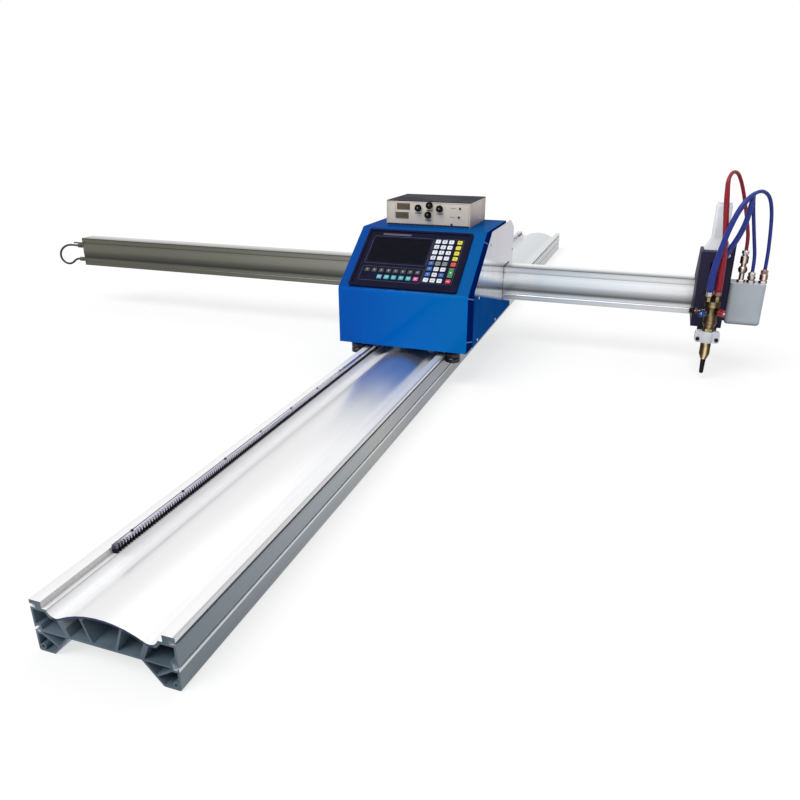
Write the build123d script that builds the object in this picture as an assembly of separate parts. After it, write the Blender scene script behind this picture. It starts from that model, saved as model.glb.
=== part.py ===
from build123d import *
import math
import os

# Portable gantry cutting machine, in millimetres.
# X runs across the rail, Y along it from its near end, Z up from its feet.

# Rail extrusion
rail_length = 3500.0
rail_width = 235.0
rail_height = 86.0
rail_wall = 3.5
flange_width = 20.0
lip_height = 7.0
lip_groove_height = 5.0
lip_groove_depth = 9.0
ledge_width = 7.5
ledge_depth = 11.0
valley_inset = 47.0
valley_depth = 20.5
dish_lean = 0.72
dish_sag = 0.2
arch_rise = 18.0
foot_width = 27.5
web_inset = 58.0
web_height = 35.0
foot_corner = 4.0
brace_foot = 14.0
chamber_margin = 1.5
side_slot_height = 38.0
side_slot_mouth = 4.0
side_slot_lip = 2.5
side_slot_depth = 9.0
side_slot_room = 10.0
screw_port_inset = 8.0
screw_port_radius = 5.0
screw_port_bore = 2.5
deck_rib_foot = 20.0
deck_rib_head = 33.0

# Racks and pinions
gear_module = 2.0
pinion_teeth = 25
pressure_angle = 20.0
tooth_backlash = 0.45
rack_depth = 9.0
rack_height = 14.0
rack_start = 140.0
rack_end_gap = 20.0
rack_screw_pitch = 133.0
rack_screw_radius = 2.5
rack_screw_height = 1.5
pinion_width = 9.0
pinion_shaft_radius = 6.0
deck_gap = 1.2

# Fits between pieces
running_gap = 0.05
rolling_gap = 0.3
tooth_gap = 0.2
cut_margin = 1.0

# Host cabinet
host_width = 372.0
host_front = 1183.0
host_depth = 572.0
host_bottom = 101.0
host_bend = 256.0
host_top = 395.0
slope_run = 191.0
top_run = 256.0
rear_drop = 75.0
sheet = 2.0
bend_radius = 12.0
side_strip = 65.0
side_strip_top = 6.0
strip_overlap = 10.0
strip_lap = 60.0
rear_corner_run = 58.0
rear_corner_drop = 30.0
cover_screw_inset = 45.0
cover_screw_drop = 26.0
slope_screw_share = 0.7
cover_screw_radius = 4.0
cover_screw_height = 2.0
base_lift = 6.0
base_thickness = 6.0

# Wheels and side rollers under the host
wheel_radius = 13.0
wheel_width = 14.0
axle_radius = 6.0
axle_overhang = 2.0
wheel_inset = 32.0
axle_block_width = 16.0
axle_block_length = 28.0
axle_block_wall = 3.3
axle_block_x = 80.0
wheel_pocket = 3.0
side_roller_radius = 21.0
side_roller_height = 24.0
side_roller_drop = 15.0
side_roller_tread = 9.5
side_roller_waist = 2.0
roller_pin_radius = 6.0
pin_head_radius = 9.0
pin_head_height = 4.0

# Drives inside the host
rail_drive_y = 1420.0
gearbox_size = 58.0
rail_gearbox_height = 46.0
beam_gearbox_height = 60.0
motor_size = 56.0
motor_length = 76.0
motor_bell = 19.0
motor_waist = 4.0
supply_width = 130.0
supply_length = 140.0
supply_height = 50.0
supply_step = 17.5
terminal_height = 25.0
supply_x = 95.0
supply_y = 1330.0

# Control panel on the sloping front
panel_x = -3.0
panel_width = 306.0
panel_height = 216.0
panel_start = 7.0
panel_proud = 4.0
panel_rim = 7.0
panel_rim_height = 2.5
panel_corner = 6.0
case_margin = 14.0
case_gap = 1.0
case_depth = 58.0
screen_x = -46.0
screen_rise = 145.0
screen_width = 164.0
screen_height = 90.0
screen_thickness = 1.5
screen_recess = 2.5
key_size = 14.0
key_height = 1.2
key_pitch_x = 19.0
key_pitch_y = 20.3
pad_x = 57.0
pad_rise = 187.0
pad_rows = 8
pad_columns = 3
colour_column_x = 119.0
soft_key_x = -118.0
soft_key_pitch = 20.9
soft_key_rise = 68.0
soft_keys = 8
mode_key_x = -76.0
mode_key_rise = 45.0
mode_keys = 6

# Height controller on the roof
thc_x = -7.5
thc_width = 253.0
thc_depth = 188.0
thc_height = 70.0
thc_back_from_bend = 59.0
thc_wall = 1.5
thc_lid = 2.0
thc_panel_thickness = 2.0
thc_knob_radius = 10.0
thc_knob_height = 13.0
thc_skirt_height = 4.5
thc_grip_radius = 7.5
thc_pointer_width = 3.0
thc_shaft_radius = 3.0
thc_shaft_length = 9.0
thc_knob_places = [(-28.5, 50.5), (5.5, 59.0), (36.0, 50.5), (1.5, 32.0)]
thc_display_width = 40.0
thc_display_height = 18.0
thc_display_proud = 1.0
thc_display_places = [(-74.0, 53.5), (-78.0, 28.5)]

# Cross beam
beam_length = 2208.0
beam_out = 746.0
beam_front = 1625.0
beam_bottom = 152.0
beam_height = 103.0
beam_depth = 64.0
beam_wall = 3.0
beam_rib_rise = 56.0
beam_bulge = 5.0
beam_top_lip = 19.0
beam_bottom_lip = 16.0
lip_step = 2.0
beam_rack_depth = 10.0
beam_rack_height = 14.0
beam_rack_rise = 33.0
beam_rack_end_gap = 30.0
window_gap = 4.0

# Rollers that carry the beam
beam_roller_inset = 34.0
beam_roller_radius = 16.0
beam_flange_radius = 18.5
beam_flange_width = 9.0
saddle_width = 40.0
saddle_plate = 6.0
saddle_floor = 3.0
saddle_top_margin = 10.0
cheek_gap = 1.0

# Left end of the beam
end_cap_thickness = 4.0
gland_radius = 6.5
gland_nut_radius = 9.5
gland_nut_length = 8.0
gland_length = 50.0
gland_cap_radius = 8.0
gland_cap_length = 16.0
gland_upper_rise = 67.0
gland_lower_rise = 15.0
stop_pin_radius = 3.0
stop_pin_length = 54.0
stop_pin_rise = 81.0
stop_pin_setback = 15.0
cable_diameter = 8.0

# Torch lifter at the right end of the beam
bracket_thickness = 6.0
lifter_width = 74.0
lifter_depth = 86.0
lifter_front = 1530.0
lifter_bottom = 141.0
lifter_height = 210.0
lifter_wall = 4.0
side_cover_thickness = 6.0
side_cover_setback = 15.0
side_cover_rise = 19.0
side_cover_top = 24.0
lifter_motor_size = 40.0
lifter_motor_height = 96.0
lifter_motor_corner = 6.0
adapter_height = 30.0
adapter_base = 70.0
adapter_depth = 54.0
motor_cap_height = 8.0
motor_cap_inset = 2.0
screw_radius = 6.0
screw_back = 58.0
screw_inset = 1.0
lift_up = 85.0
lift_down = 15.0

# Slide that the lifter drives
slot_width = 30.0
slot_end_gap = 2.0
arm_width = 24.0
arm_height = 30.0
arm_rise = 64.0
slide_block_width = 50.0
slide_block_height = 50.0
slide_block_gap = 14.0
guide_width = 20.0
guide_depth = 10.0
guide_gap = 0.5
slide_plate_thickness = 12.0
slide_plate_gap = 6.0
slide_plate_bottom = 102.0

# Torch
torch_shift = 2.0
torch_y = 1490.0
torch_tip = 18.0
nozzle_length = 43.0
nozzle_radius = 7.0
nozzle_tip_radius = 5.5
nozzle_tip_round = 3.0
nut_length = 48.0
nut_radius = 13.8
nut_nose_radius = 8.0
nut_nose_length = 15.0
stem_radius = 13.0
stem_top = 150.0
manifold_cone = 14.0
manifold_radius = 18.0
manifold_top = 205.0
head_cone = 4.0
head_radius = 21.0
head_top = 226.0
inlet_top = 252.0
inlet_nut_radius = 7.5
inlet_nut_height = 12.0
inlet_neck_radius = 5.0
torch_inlets = [(10.0, 0.0), (-12.0, -10.0), (-8.0, 12.0)]

# Torch valves, each as angle from +X, height and reach from the torch axis
valve_stem_radius = 4.0
valve_boss_radius = 7.5
valve_boss_reach = 24.0
blue_valve = (232.0, 196.0, 40.0)
red_valve = (316.0, 199.0, 38.0)
black_valve = (180.0, 195.0, 52.0)
knob_radius = 10.0
knob_length = 14.0
knob_flutes = 8
knob_flute_radius = 2.2
small_knob_radius = 7.0
knob_bore_depth = 10.0

# Clamp that holds the torch
clamp_width = 64.0
clamp_bottom = 110.0
clamp_height = 31.0
clamp_split = 0.6
clamp_barrel = 17.5
clamp_neck = 24.0
ear_thickness = 10.0
ear_corner = 7.0
clamp_bolt_head = 5.5
clamp_bolt_height = 4.0
clamp_bolt_inset = 8.0

# Gas box beside the lifter
gas_width = 90.0
gas_depth = 62.0
gas_setback = 5.0
gas_bottom = 153.0
gas_height = 115.0
gas_corner = 10.0
gas_bottom_round = 8.0
gas_outlet_y = 30.0
gas_outlet_places = [(27.0, 88.0), (52.0, 30.0), (82.0, 38.0)]
outlet_foot_radius = 11.0
outlet_foot_height = 7.0
outlet_body_radius = 10.5
outlet_shoulder = 3.0
outlet_nut_radius = 8.0
outlet_nut_height = 8.0
outlet_tail_radius = 5.0
outlet_tail_length = 3.0
arrestor_waist_radius = 7.0
arrestor_ball_radius = 12.0
arrestor_ball_rise = 34.0
arrestor_drum_bottom = 52.0
arrestor_drum_top = 70.0
hose_diameter = 9.5
arc_share = 0.45

# Hose and cable routes, each point chosen by hand
red_route = [
    (801, 1490, 252), (801, 1490, 294), (800, 1491, 342), (796, 1495, 400), (788, 1500, 462),
    (783, 1504, 512), (781, 1507, 541), (789, 1523, 559), (804, 1546, 557), (817, 1562, 535),
    (829, 1565, 502), (841, 1566, 460), (852, 1566, 418), (859, 1565, 385), (859, 1565, 356),
]
outer_route = [
    (779, 1480, 252), (779, 1480, 300), (787, 1480, 352), (797, 1482, 405), (811, 1486, 452),
    (827, 1494, 486), (848, 1514, 508), (870, 1537, 514), (891, 1555, 499), (903, 1563, 463),
    (909, 1565, 416), (913, 1565, 362), (914, 1565, 332), (914, 1565, 306),
]
inner_route = [
    (783, 1502, 252), (783, 1502, 284), (795, 1502, 326), (811, 1503, 361), (827, 1504, 393),
    (839, 1506, 428), (844, 1508, 458), (846, 1510, 484), (848, 1525, 502), (852, 1549, 504),
    (855, 1565, 486), (860, 1567, 456), (868, 1567, 415), (876, 1566, 374), (884, 1565, 334),
    (884, 1565, 298),
]
cable_route = [
    (-1516, 1657, 219), (-1532, 1657, 219), (-1551, 1657, 220), (-1575, 1657, 217), (-1597, 1657, 206),
    (-1614, 1657, 187), (-1615, 1657, 164), (-1600, 1657, 148), (-1579, 1657, 143), (-1560, 1657, 148),
    (-1543, 1657, 161), (-1530, 1657, 167), (-1516, 1657, 167),
]

# Places worked out from the sizes above
rail_half = rail_width / 2
flange_inner = rail_half - flange_width
ledge_inner = flange_inner - ledge_width
ledge_top = rail_height - ledge_depth
valley_x = rail_half - valley_inset
valley_top = rail_height - valley_depth
web_x = rail_half - web_inset
arch_radius = (valley_x**2 + arch_rise**2) / (2 * arch_rise)
tooth_pitch = math.pi * gear_module
pinion_radius = gear_module * pinion_teeth / 2
addendum = 0.8 * gear_module
dedendum = 1.0 * gear_module
rack_tip_x = -flange_inner + rack_depth
rack_top = ledge_top + rack_height
rail_pinion_x = rack_tip_x - addendum + pinion_radius + tooth_gap

host_half = host_width / 2
cover_half = host_half - sheet
host_back = host_front + host_depth
slope_top = host_front + slope_run
top_back = slope_top + top_run
slope_angle = math.atan2(host_top - host_bend, slope_run)
base_bottom = host_bottom + base_lift
base_top = base_bottom + base_thickness
axle_z = rail_height + rolling_gap + wheel_radius
axle_ys = [host_front + wheel_inset, host_back - wheel_inset]
wheel_x = rail_half - flange_width / 2
side_roller_x = rail_half + rolling_gap + side_roller_radius
side_roller_top = base_bottom - side_roller_drop
side_roller_bottom = side_roller_top - side_roller_height

beam_roller_x = cover_half - beam_roller_inset
beam_left = beam_out - beam_length
beam_back = beam_front + beam_depth
beam_top = beam_bottom + beam_height
beam_mid = beam_front + beam_depth / 2
beam_rack_tip = beam_back + beam_rack_depth
beam_rack_bottom = beam_bottom + beam_rack_rise
beam_pinion_y = beam_rack_tip - addendum + pinion_radius + tooth_gap
roller_zs = [
    beam_bottom - rolling_gap - beam_roller_radius,
    beam_top + rolling_gap + beam_roller_radius,
]
roller_front = beam_front - rolling_gap - beam_flange_width
roller_back = max(beam_back + rolling_gap + beam_flange_width, beam_rack_tip + tooth_gap + cheek_gap)

lifter_left = beam_out + bracket_thickness
lifter_right = lifter_left + lifter_width
lifter_x = lifter_left + lifter_width / 2
lifter_back = lifter_front + lifter_depth
lifter_top = lifter_bottom + lifter_height
screw_y = lifter_front + screw_back
arm_bottom = lifter_bottom + arm_rise
slide_front = lifter_front - slide_plate_gap - slide_plate_thickness
gas_left = lifter_right + side_cover_thickness
gas_right = gas_left + gas_width
gas_front = lifter_front + gas_setback
gas_top = gas_bottom + gas_height
torch_x = lifter_x + torch_shift
nut_bottom = torch_tip + nozzle_length
nut_top = nut_bottom + nut_length

thc_front = slope_top + thc_back_from_bend
thc_left = thc_x - thc_width / 2
thc_right = thc_x + thc_width / 2

# The whole machine is placed with its origin under the middle of its box
reach_left = beam_left - end_cap_thickness - stop_pin_length
origin_x = (reach_left + gas_right) / 2
origin_y = rail_length / 2

# Plane of the sloping front, with local Y up the slope
slope_plane = Plane(
    origin=(0, host_front, host_bend),
    x_dir=(1, 0, 0),
    z_dir=(0, -math.sin(slope_angle), math.cos(slope_angle)),
)


def block(xs, ys, zs):
    """Box between two corners given as ranges."""
    middle = Pos(sum(xs) / 2, sum(ys) / 2, sum(zs) / 2)
    return middle * Box(xs[1] - xs[0], ys[1] - ys[0], zs[1] - zs[0])


def rod(base, direction, radius, length):
    """Round bar from a point along a direction."""
    return extrude(Plane(origin=base, z_dir=direction) * Circle(radius), length)


def hex_bar(base, direction, radius, length):
    """Six-sided bar from a point along a direction."""
    return extrude(Plane(origin=base, z_dir=direction) * RegularPolygon(radius, 6), length)


def polygon(points):
    """Flat face inside a closed run of points."""
    return make_face(Polyline(*points, close=True))


def along_y(face, start, length):
    """Section drawn as X and Z, carried along Y."""
    return Pos(0, start, 0) * extrude(Plane.XZ * face, -length)


def along_x(face, start, length):
    """Section drawn as Y and Z, carried along X."""
    return Pos(start, 0, 0) * extrude(Plane.YZ * face, length)


def on_slope(shape):
    """Shape drawn on the slope's own plane, moved to the cabinet."""
    return slope_plane * shape


def both_sides(shape):
    """A shape and its mirror image across the rail."""
    return [shape, mirror(shape, Plane.YZ)]


def deck_height(x):
    """Height of the arched deck at a distance from the rail's middle."""
    apex = valley_top + arch_rise
    return apex - arch_radius + math.sqrt(arch_radius**2 - x**2)


def rail_side_points():
    """Right side of the rail's outline, from the web's corner to the ledge."""
    lip_bottom = rail_height - lip_height
    mouth = side_slot_mouth / 2
    room = side_slot_room / 2
    slot_lip = rail_half - side_slot_lip
    slot_inner = rail_half - side_slot_depth
    return [
        (web_x, web_height),
        (rail_half - foot_width, 0),
        (rail_half, 0),
        (rail_half, side_slot_height - mouth),
        (slot_lip, side_slot_height - mouth),
        (slot_lip, side_slot_height - room),
        (slot_inner, side_slot_height - room),
        (slot_inner, side_slot_height + room),
        (slot_lip, side_slot_height + room),
        (slot_lip, side_slot_height + mouth),
        (rail_half, side_slot_height + mouth),
        (rail_half, lip_bottom - lip_groove_height),
        (rail_half - lip_groove_depth, lip_bottom - lip_groove_height),
        (rail_half - lip_groove_depth, lip_bottom),
        (rail_half, lip_bottom),
        (rail_half, rail_height),
        (flange_inner, rail_height),
        (flange_inner, ledge_top),
        (ledge_inner, ledge_top),
    ]


def dish_arc():
    """Hollow between the ledge and the arched deck."""
    middle_x = valley_x + dish_lean * (ledge_inner - valley_x)
    middle_z = valley_top + dish_sag * (ledge_top - valley_top)
    return ThreePointArc((ledge_inner, ledge_top), (middle_x, middle_z), (valley_x, valley_top))


def strut(start, end, thickness):
    """Flat bar of even thickness between two points of a section."""
    run = (end[0] - start[0], end[1] - start[1])
    middle = Pos((start[0] + end[0]) / 2, (start[1] + end[1]) / 2)
    turn = Rot(0, 0, math.degrees(math.atan2(run[1], run[0])))
    return middle * turn * Rectangle(math.hypot(*run), thickness)


def screw_port(radius):
    """Disc at the place of the right leg's screw port."""
    return Pos(rail_half - screw_port_inset, screw_port_inset) * Circle(radius)


def foot_chambers():
    """Hollows in the right leg, round its side slot, inner ribs and screw port."""
    wall = rail_wall
    outer = rail_half - wall
    run = rail_half - foot_width - web_x
    slope = run / web_height
    skew = wall * math.hypot(1, slope)

    def leg_inner(z):
        return rail_half - foot_width - slope * z + skew

    rib_low = side_slot_height - wall
    roof = rail_height - lip_height - lip_groove_height - wall
    lower = [(outer, wall), (leg_inner(wall), wall), (leg_inner(rib_low), rib_low), (outer, rib_low)]
    upper = [
        (outer, side_slot_height),
        (web_x + wall + chamber_margin, side_slot_height),
        (valley_x + wall, valley_top - wall - chamber_margin),
        (ledge_inner - wall, valley_top - wall),
        (flange_inner - wall, roof),
        (outer, roof),
    ]
    slot_width = side_slot_depth + wall
    slot_walls = Rectangle(slot_width, side_slot_room + 2 * wall)
    slot_walls = Pos(rail_half - slot_width / 2, side_slot_height) * slot_walls
    brace_head = (rail_half - side_slot_depth, side_slot_height - side_slot_room / 2)
    brace = strut((leg_inner(brace_foot) - wall, brace_foot), brace_head, wall)
    port = screw_port(screw_port_radius)
    return [polygon(lower) - slot_walls - brace - port, polygon(upper) - slot_walls]


def deck_chamber(foot_left, head_left, foot_right, head_right):
    """Hollow under the deck between two leaning ribs."""
    floor = web_height + rail_wall

    def under_deck(x):
        return (x, deck_height(x) - rail_wall)

    arc = ThreePointArc(
        under_deck(head_left), under_deck((head_left + head_right) / 2), under_deck(head_right)
    )
    walls = Polyline(under_deck(head_right), (foot_right, floor), (foot_left, floor), under_deck(head_left))
    return make_face(arc.edges() + walls.edges())


def rail_extrusion():
    """Aluminium rail with an arched deck, two flanges and hollow legs."""
    right = Polyline(*rail_side_points())
    dish = dish_arc()
    apex = valley_top + arch_rise
    deck = ThreePointArc((valley_x, valley_top), (0, apex), (-valley_x, valley_top))
    web = Line((-web_x, web_height), (web_x, web_height))
    edges = deck.edges() + web.edges()
    for line in both_sides(right) + both_sides(dish):
        edges += line.edges()
    outline = make_face(edges)
    section = fillet(outline.vertices().group_by(Axis.Y)[0], foot_corner)
    half_rib = rail_wall / 2
    for hollow in foot_chambers() + [screw_port(screw_port_bore)]:
        for side in both_sides(hollow):
            section -= side
    outer_foot = web_x - rail_wall
    outer_head = valley_x - rail_wall
    right_chamber = deck_chamber(
        deck_rib_foot + half_rib, deck_rib_head + half_rib, outer_foot, outer_head
    )
    middle_chamber = deck_chamber(
        -deck_rib_foot + half_rib, -deck_rib_head + half_rib, deck_rib_foot - half_rib, deck_rib_head - half_rib
    )
    for chamber in both_sides(right_chamber) + [middle_chamber]:
        section -= chamber
    return along_y(section, 0, rail_length)


def rack_outline(length, back_to_tip):
    """Toothed bar in plan: back edge on the X axis, teeth towards +Y, starting at a tooth space."""
    count = int(length / tooth_pitch)
    lean = math.tan(math.radians(pressure_angle))
    half_tip = tooth_pitch / 4 - tooth_backlash / 4 - addendum * lean
    half_root = tooth_pitch / 4 - tooth_backlash / 4 + dedendum * lean
    root = back_to_tip - addendum - dedendum
    points = [(0, 0)]
    for i in range(count):
        middle = (i + 0.5) * tooth_pitch
        points += [
            (middle - half_root, root),
            (middle - half_tip, back_to_tip),
            (middle + half_tip, back_to_tip),
            (middle + half_root, root),
        ]
    end = count * tooth_pitch
    points += [(end, root), (end, 0)]
    points.insert(1, (0, root))
    return polygon(points)


def pinion_outline():
    """Toothed wheel with a tooth on its +X axis and flanks that follow an involute."""
    base_radius = pinion_radius * math.cos(math.radians(pressure_angle))
    half_thickness = (tooth_pitch / 2 - tooth_backlash) / 2 / pinion_radius
    start_angle = math.radians(pressure_angle)
    involute_at_pitch = math.tan(start_angle) - start_angle

    def half_angle(radius):
        if radius <= base_radius:
            return half_thickness + involute_at_pitch
        angle = math.acos(base_radius / radius)
        return half_thickness + involute_at_pitch - (math.tan(angle) - angle)

    root = pinion_radius - dedendum
    levels = [root, pinion_radius, pinion_radius + addendum]
    points = []
    for i in range(pinion_teeth):
        middle = 2 * math.pi * i / pinion_teeth
        flank = [(r, middle - half_angle(r)) for r in levels]
        flank += [(r, middle + half_angle(r)) for r in reversed(levels)]
        points += [(r * math.cos(a), r * math.sin(a)) for r, a in flank]
    return polygon(points)


def mesh_shift(start, place):
    """Turn of a pinion that puts a tooth in the rack's nearest space."""
    spaces = (place - start) / tooth_pitch
    return (spaces - math.floor(spaces)) * 360 / pinion_teeth


def gear_rack():
    """Steel rack on the rail's left ledge, teeth towards the middle."""
    outline = rack_outline(rail_length - rack_start - rack_end_gap, rack_depth)
    turned = mirror(Rot(0, 0, 90) * outline, Plane.YZ)
    return Pos(-flange_inner, rack_start, ledge_top) * extrude(turned, rack_height)


def rack_screws():
    """Screw heads along the rack's plain back edge."""
    count = int((rail_length - rack_start - rack_end_gap) / rack_screw_pitch)
    x = -flange_inner + rack_screw_radius
    first = rack_start + rack_screw_pitch / 3
    ys = [first + i * rack_screw_pitch for i in range(count)]
    return [hex_bar((x, y, rack_top), (0, 0, 1), rack_screw_radius, rack_screw_height) for y in ys]


def pinion(x, y, gear_bottom, turn, shaft_bottom, shaft_top):
    """Pinion on an upright shaft."""
    wheel = Pos(x, y, gear_bottom) * Rot(0, 0, turn) * extrude(pinion_outline(), pinion_width)
    shaft = rod((x, y, shaft_bottom), (0, 0, 1), pinion_shaft_radius, shaft_top - shaft_bottom)
    return wheel + shaft


def rail_pinion():
    """Pinion under the host, in mesh with the rail's rack."""
    inner_edge = abs(rail_pinion_x + pinion_radius + addendum)
    bottom = deck_height(inner_edge) + deck_gap
    turn = 180 + mesh_shift(rack_start, rail_drive_y)
    return pinion(rail_pinion_x, rail_drive_y, bottom, turn, bottom, base_top + rail_gearbox_height / 2)


def beam_pinion():
    """Pinion behind the beam, in mesh with the beam's rack."""
    bottom = beam_rack_bottom + (beam_rack_height - pinion_width) / 2
    rack_left = beam_left + beam_rack_end_gap
    turn = -90 - mesh_shift(rack_left, 0)
    shaft_bottom = base_top + beam_gearbox_height / 2
    return pinion(0, beam_pinion_y, bottom, turn, shaft_bottom, bottom + pinion_width)


def cabinet_points(shift, lowered, back):
    """Outline of the cabinet's side, moved back along Y and lowered at the top."""
    top = host_top - lowered
    rise = (top - host_bend) / math.tan(slope_angle)
    front = host_front + shift
    return [(front, host_bottom), (front, host_bend), (front + rise, top), (back, top)]


def bent_sheet(points):
    """Section of a sheet bent along a run of points, with its thickness to the right."""
    line = FilletPolyline(*points, radius=bend_radius)
    return make_face(offset(line, sheet, side=Side.RIGHT).edges())


def front_cover():
    """Bent sheet: upright front, slope and roof, with folded side strips."""
    points = cabinet_points(0, 0, top_back)
    shell = along_x(bent_sheet(points), -cover_half, 2 * cover_half)
    strip = side_strip + strip_lap
    lowered = side_strip_top + strip_overlap
    outer = FilletPolyline(*points, radius=bend_radius)
    inner = Polyline(*cabinet_points(strip, lowered, top_back))
    ends = Line(outer @ 0, inner @ 0).edges() + Line(outer @ 1, inner @ 1).edges()
    strip_face = make_face(outer.edges() + inner.edges() + ends)
    for start in (-cover_half, cover_half - sheet):
        shell += along_x(strip_face, start, sheet)
    opening = Pos(panel_x, panel_start + panel_height / 2, 0) * Box(
        panel_width - 2 * case_margin, panel_height - 2 * case_margin, 4 * sheet
    )
    return shell - on_slope(opening)


def side_plate():
    """Flat side of the host with a window for the beam."""
    outline = cabinet_points(side_strip, side_strip_top, host_back - rear_corner_run)
    outline += [(host_back, host_top - side_strip_top - rear_corner_drop), (host_back, host_bottom)]
    plate = along_x(polygon(outline), cover_half, sheet)
    ys = (beam_front - beam_bulge - window_gap, beam_rack_tip + window_gap)
    zs = (beam_bottom - window_gap, beam_top + window_gap)
    return plate - block((cover_half - cut_margin, host_half + cut_margin), ys, zs)


def rear_cover():
    """Bent sheet that closes the host behind the roof, between the side plates."""
    roof = host_top - sheet
    fall = host_top - rear_drop
    points = [(top_back - side_strip, roof), (top_back, roof), (host_back, fall), (host_back, host_bottom)]
    half = cover_half - sheet
    cover = along_x(bent_sheet(points), -half, 2 * half)
    wing_ys = (host_back - strip_overlap, host_back)
    wing_zs = (host_bottom, fall - strip_overlap)
    for start in (-cover_half, half):
        cover += block((start, start + sheet), wing_ys, wing_zs)
    return cover


def cover_screws():
    """Screw heads that hold both side plates to the cover's strips and the rear cover."""
    run = host_front + side_strip + cover_screw_inset
    lower = host_bottom + strip_overlap
    rear = host_back - strip_overlap / 2
    slope_y = run + slope_screw_share * slope_run
    slope_z = host_bend + slope_screw_share * (host_top - host_bend)
    places = [
        (run, lower),
        ((run + rear) / 2, lower),
        (run, host_bend - cover_screw_drop),
        (slope_y, slope_z),
        (rear, lower),
        (rear, host_top - rear_drop - 3 * strip_overlap),
    ]
    heads = [
        rod((host_half, y, z), (1, 0, 0), cover_screw_radius, cover_screw_height) for y, z in places
    ]
    return [side for head in heads for side in both_sides(head)]


def base_plate():
    """Thick plate that carries the host, with wheel pockets and a shaft hole."""
    half = cover_half - sheet
    plate = block((-half, half), (host_front + sheet, host_back - sheet), (base_bottom, base_top))
    reach_x = wheel_width / 2 + wheel_pocket
    reach_y = wheel_radius + wheel_pocket
    for y in axle_ys:
        for x in (-wheel_x, wheel_x):
            plate -= Pos(x, y, base_top) * Box(2 * reach_x, 2 * reach_y, 4 * base_thickness)
    hole = rod((rail_pinion_x, rail_drive_y, base_bottom), (0, 0, 1), 2 * pinion_shaft_radius, base_thickness)
    return plate - hole


def axle_blocks():
    """Bearing blocks under the base plate for both axles."""
    half_x = axle_block_width / 2
    half_y = axle_block_length / 2
    bottom = axle_z - axle_radius - axle_block_wall
    blocks = []
    for y in axle_ys:
        for x in (-axle_block_x, axle_block_x):
            body = block((x - half_x, x + half_x), (y - half_y, y + half_y), (bottom, base_bottom))
            body -= rod((x - half_x, y, axle_z), (1, 0, 0), axle_radius + running_gap, axle_block_width)
            blocks.append(body)
    return blocks


def wheel_set(y):
    """Two steel wheels on one axle."""
    half = wheel_x + wheel_width / 2 + axle_overhang
    axle = rod((-half, y, axle_z), (1, 0, 0), axle_radius, 2 * half)
    for x in (-wheel_x, wheel_x):
        axle += rod((x - wheel_width / 2, y, axle_z), (1, 0, 0), wheel_radius, wheel_width)
    return axle


def side_roller(x, y):
    """Upright roller against the rail's side, with a waist between two treads."""
    height = side_roller_height
    bore = roller_pin_radius + running_gap
    profile = [
        (bore, 0),
        (side_roller_radius, 0),
        (side_roller_radius, side_roller_tread),
        (side_roller_radius - side_roller_waist, height / 2),
        (side_roller_radius, height - side_roller_tread),
        (side_roller_radius, height),
        (bore, height),
    ]
    ring = revolve(Plane.XZ * polygon(profile), Axis.Z)
    return Pos(x, y, side_roller_bottom) * ring


def beam_roller(x, z):
    """Flanged roller under or over the beam."""
    bore = roller_pin_radius + running_gap
    inner_front = beam_front - rolling_gap
    inner_back = beam_back + rolling_gap
    length = roller_back - roller_front
    profile = [
        (bore, 0),
        (beam_flange_radius, 0),
        (beam_flange_radius, inner_front - roller_front),
        (beam_roller_radius, inner_front - roller_front),
        (beam_roller_radius, inner_back - roller_front),
        (beam_flange_radius, inner_back - roller_front),
        (beam_flange_radius, length),
        (bore, length),
    ]
    ring = revolve(Plane.XZ * polygon(profile), Axis.Z)
    return Pos(x, roller_front, z) * Rot(-90, 0, 0) * ring


def beam_saddles():
    """Two U-shaped brackets on the base plate that hold the beam's rollers."""
    front = roller_front - cheek_gap
    back = roller_back + cheek_gap
    half = saddle_width / 2
    top = roller_zs[1] + roller_pin_radius + saddle_top_margin
    saddles = []
    for x in (-beam_roller_x, beam_roller_x):
        xs = (x - half, x + half)
        body = block(xs, (front - saddle_plate, back + saddle_plate), (base_top, base_top + saddle_floor))
        body += block(xs, (front - saddle_plate, front), (base_top, top))
        body += block(xs, (back, back + saddle_plate), (base_top, top))
        for z in roller_zs:
            start = (x, front - 2 * saddle_plate, z)
            body -= rod(start, (0, 1, 0), roller_pin_radius, back - front + 4 * saddle_plate)
        saddles.append(body)
    return saddles


def roller_pins():
    """Pins of the side rollers and of the beam's rollers."""
    pins = []
    front = roller_front - cheek_gap - saddle_plate
    back = roller_back + cheek_gap + saddle_plate
    for x in (-beam_roller_x, beam_roller_x):
        for z in roller_zs:
            pin = rod((x, front, z), (0, 1, 0), roller_pin_radius, back - front)
            pin += rod((x, front - pin_head_height, z), (0, 1, 0), pin_head_radius, pin_head_height)
            pins.append(pin)
    head_bottom = side_roller_bottom - cheek_gap - pin_head_height
    for y in axle_ys:
        for x in (-side_roller_x, side_roller_x):
            pin = rod((x, y, head_bottom), (0, 0, 1), roller_pin_radius, base_bottom - head_bottom)
            pin += rod((x, y, head_bottom), (0, 0, 1), pin_head_radius, pin_head_height)
            collar_bottom = side_roller_top + cheek_gap
            pin += rod((x, y, collar_bottom), (0, 0, 1), pin_head_radius, base_bottom - collar_bottom)
            pins.append(pin)
    return pins


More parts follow.
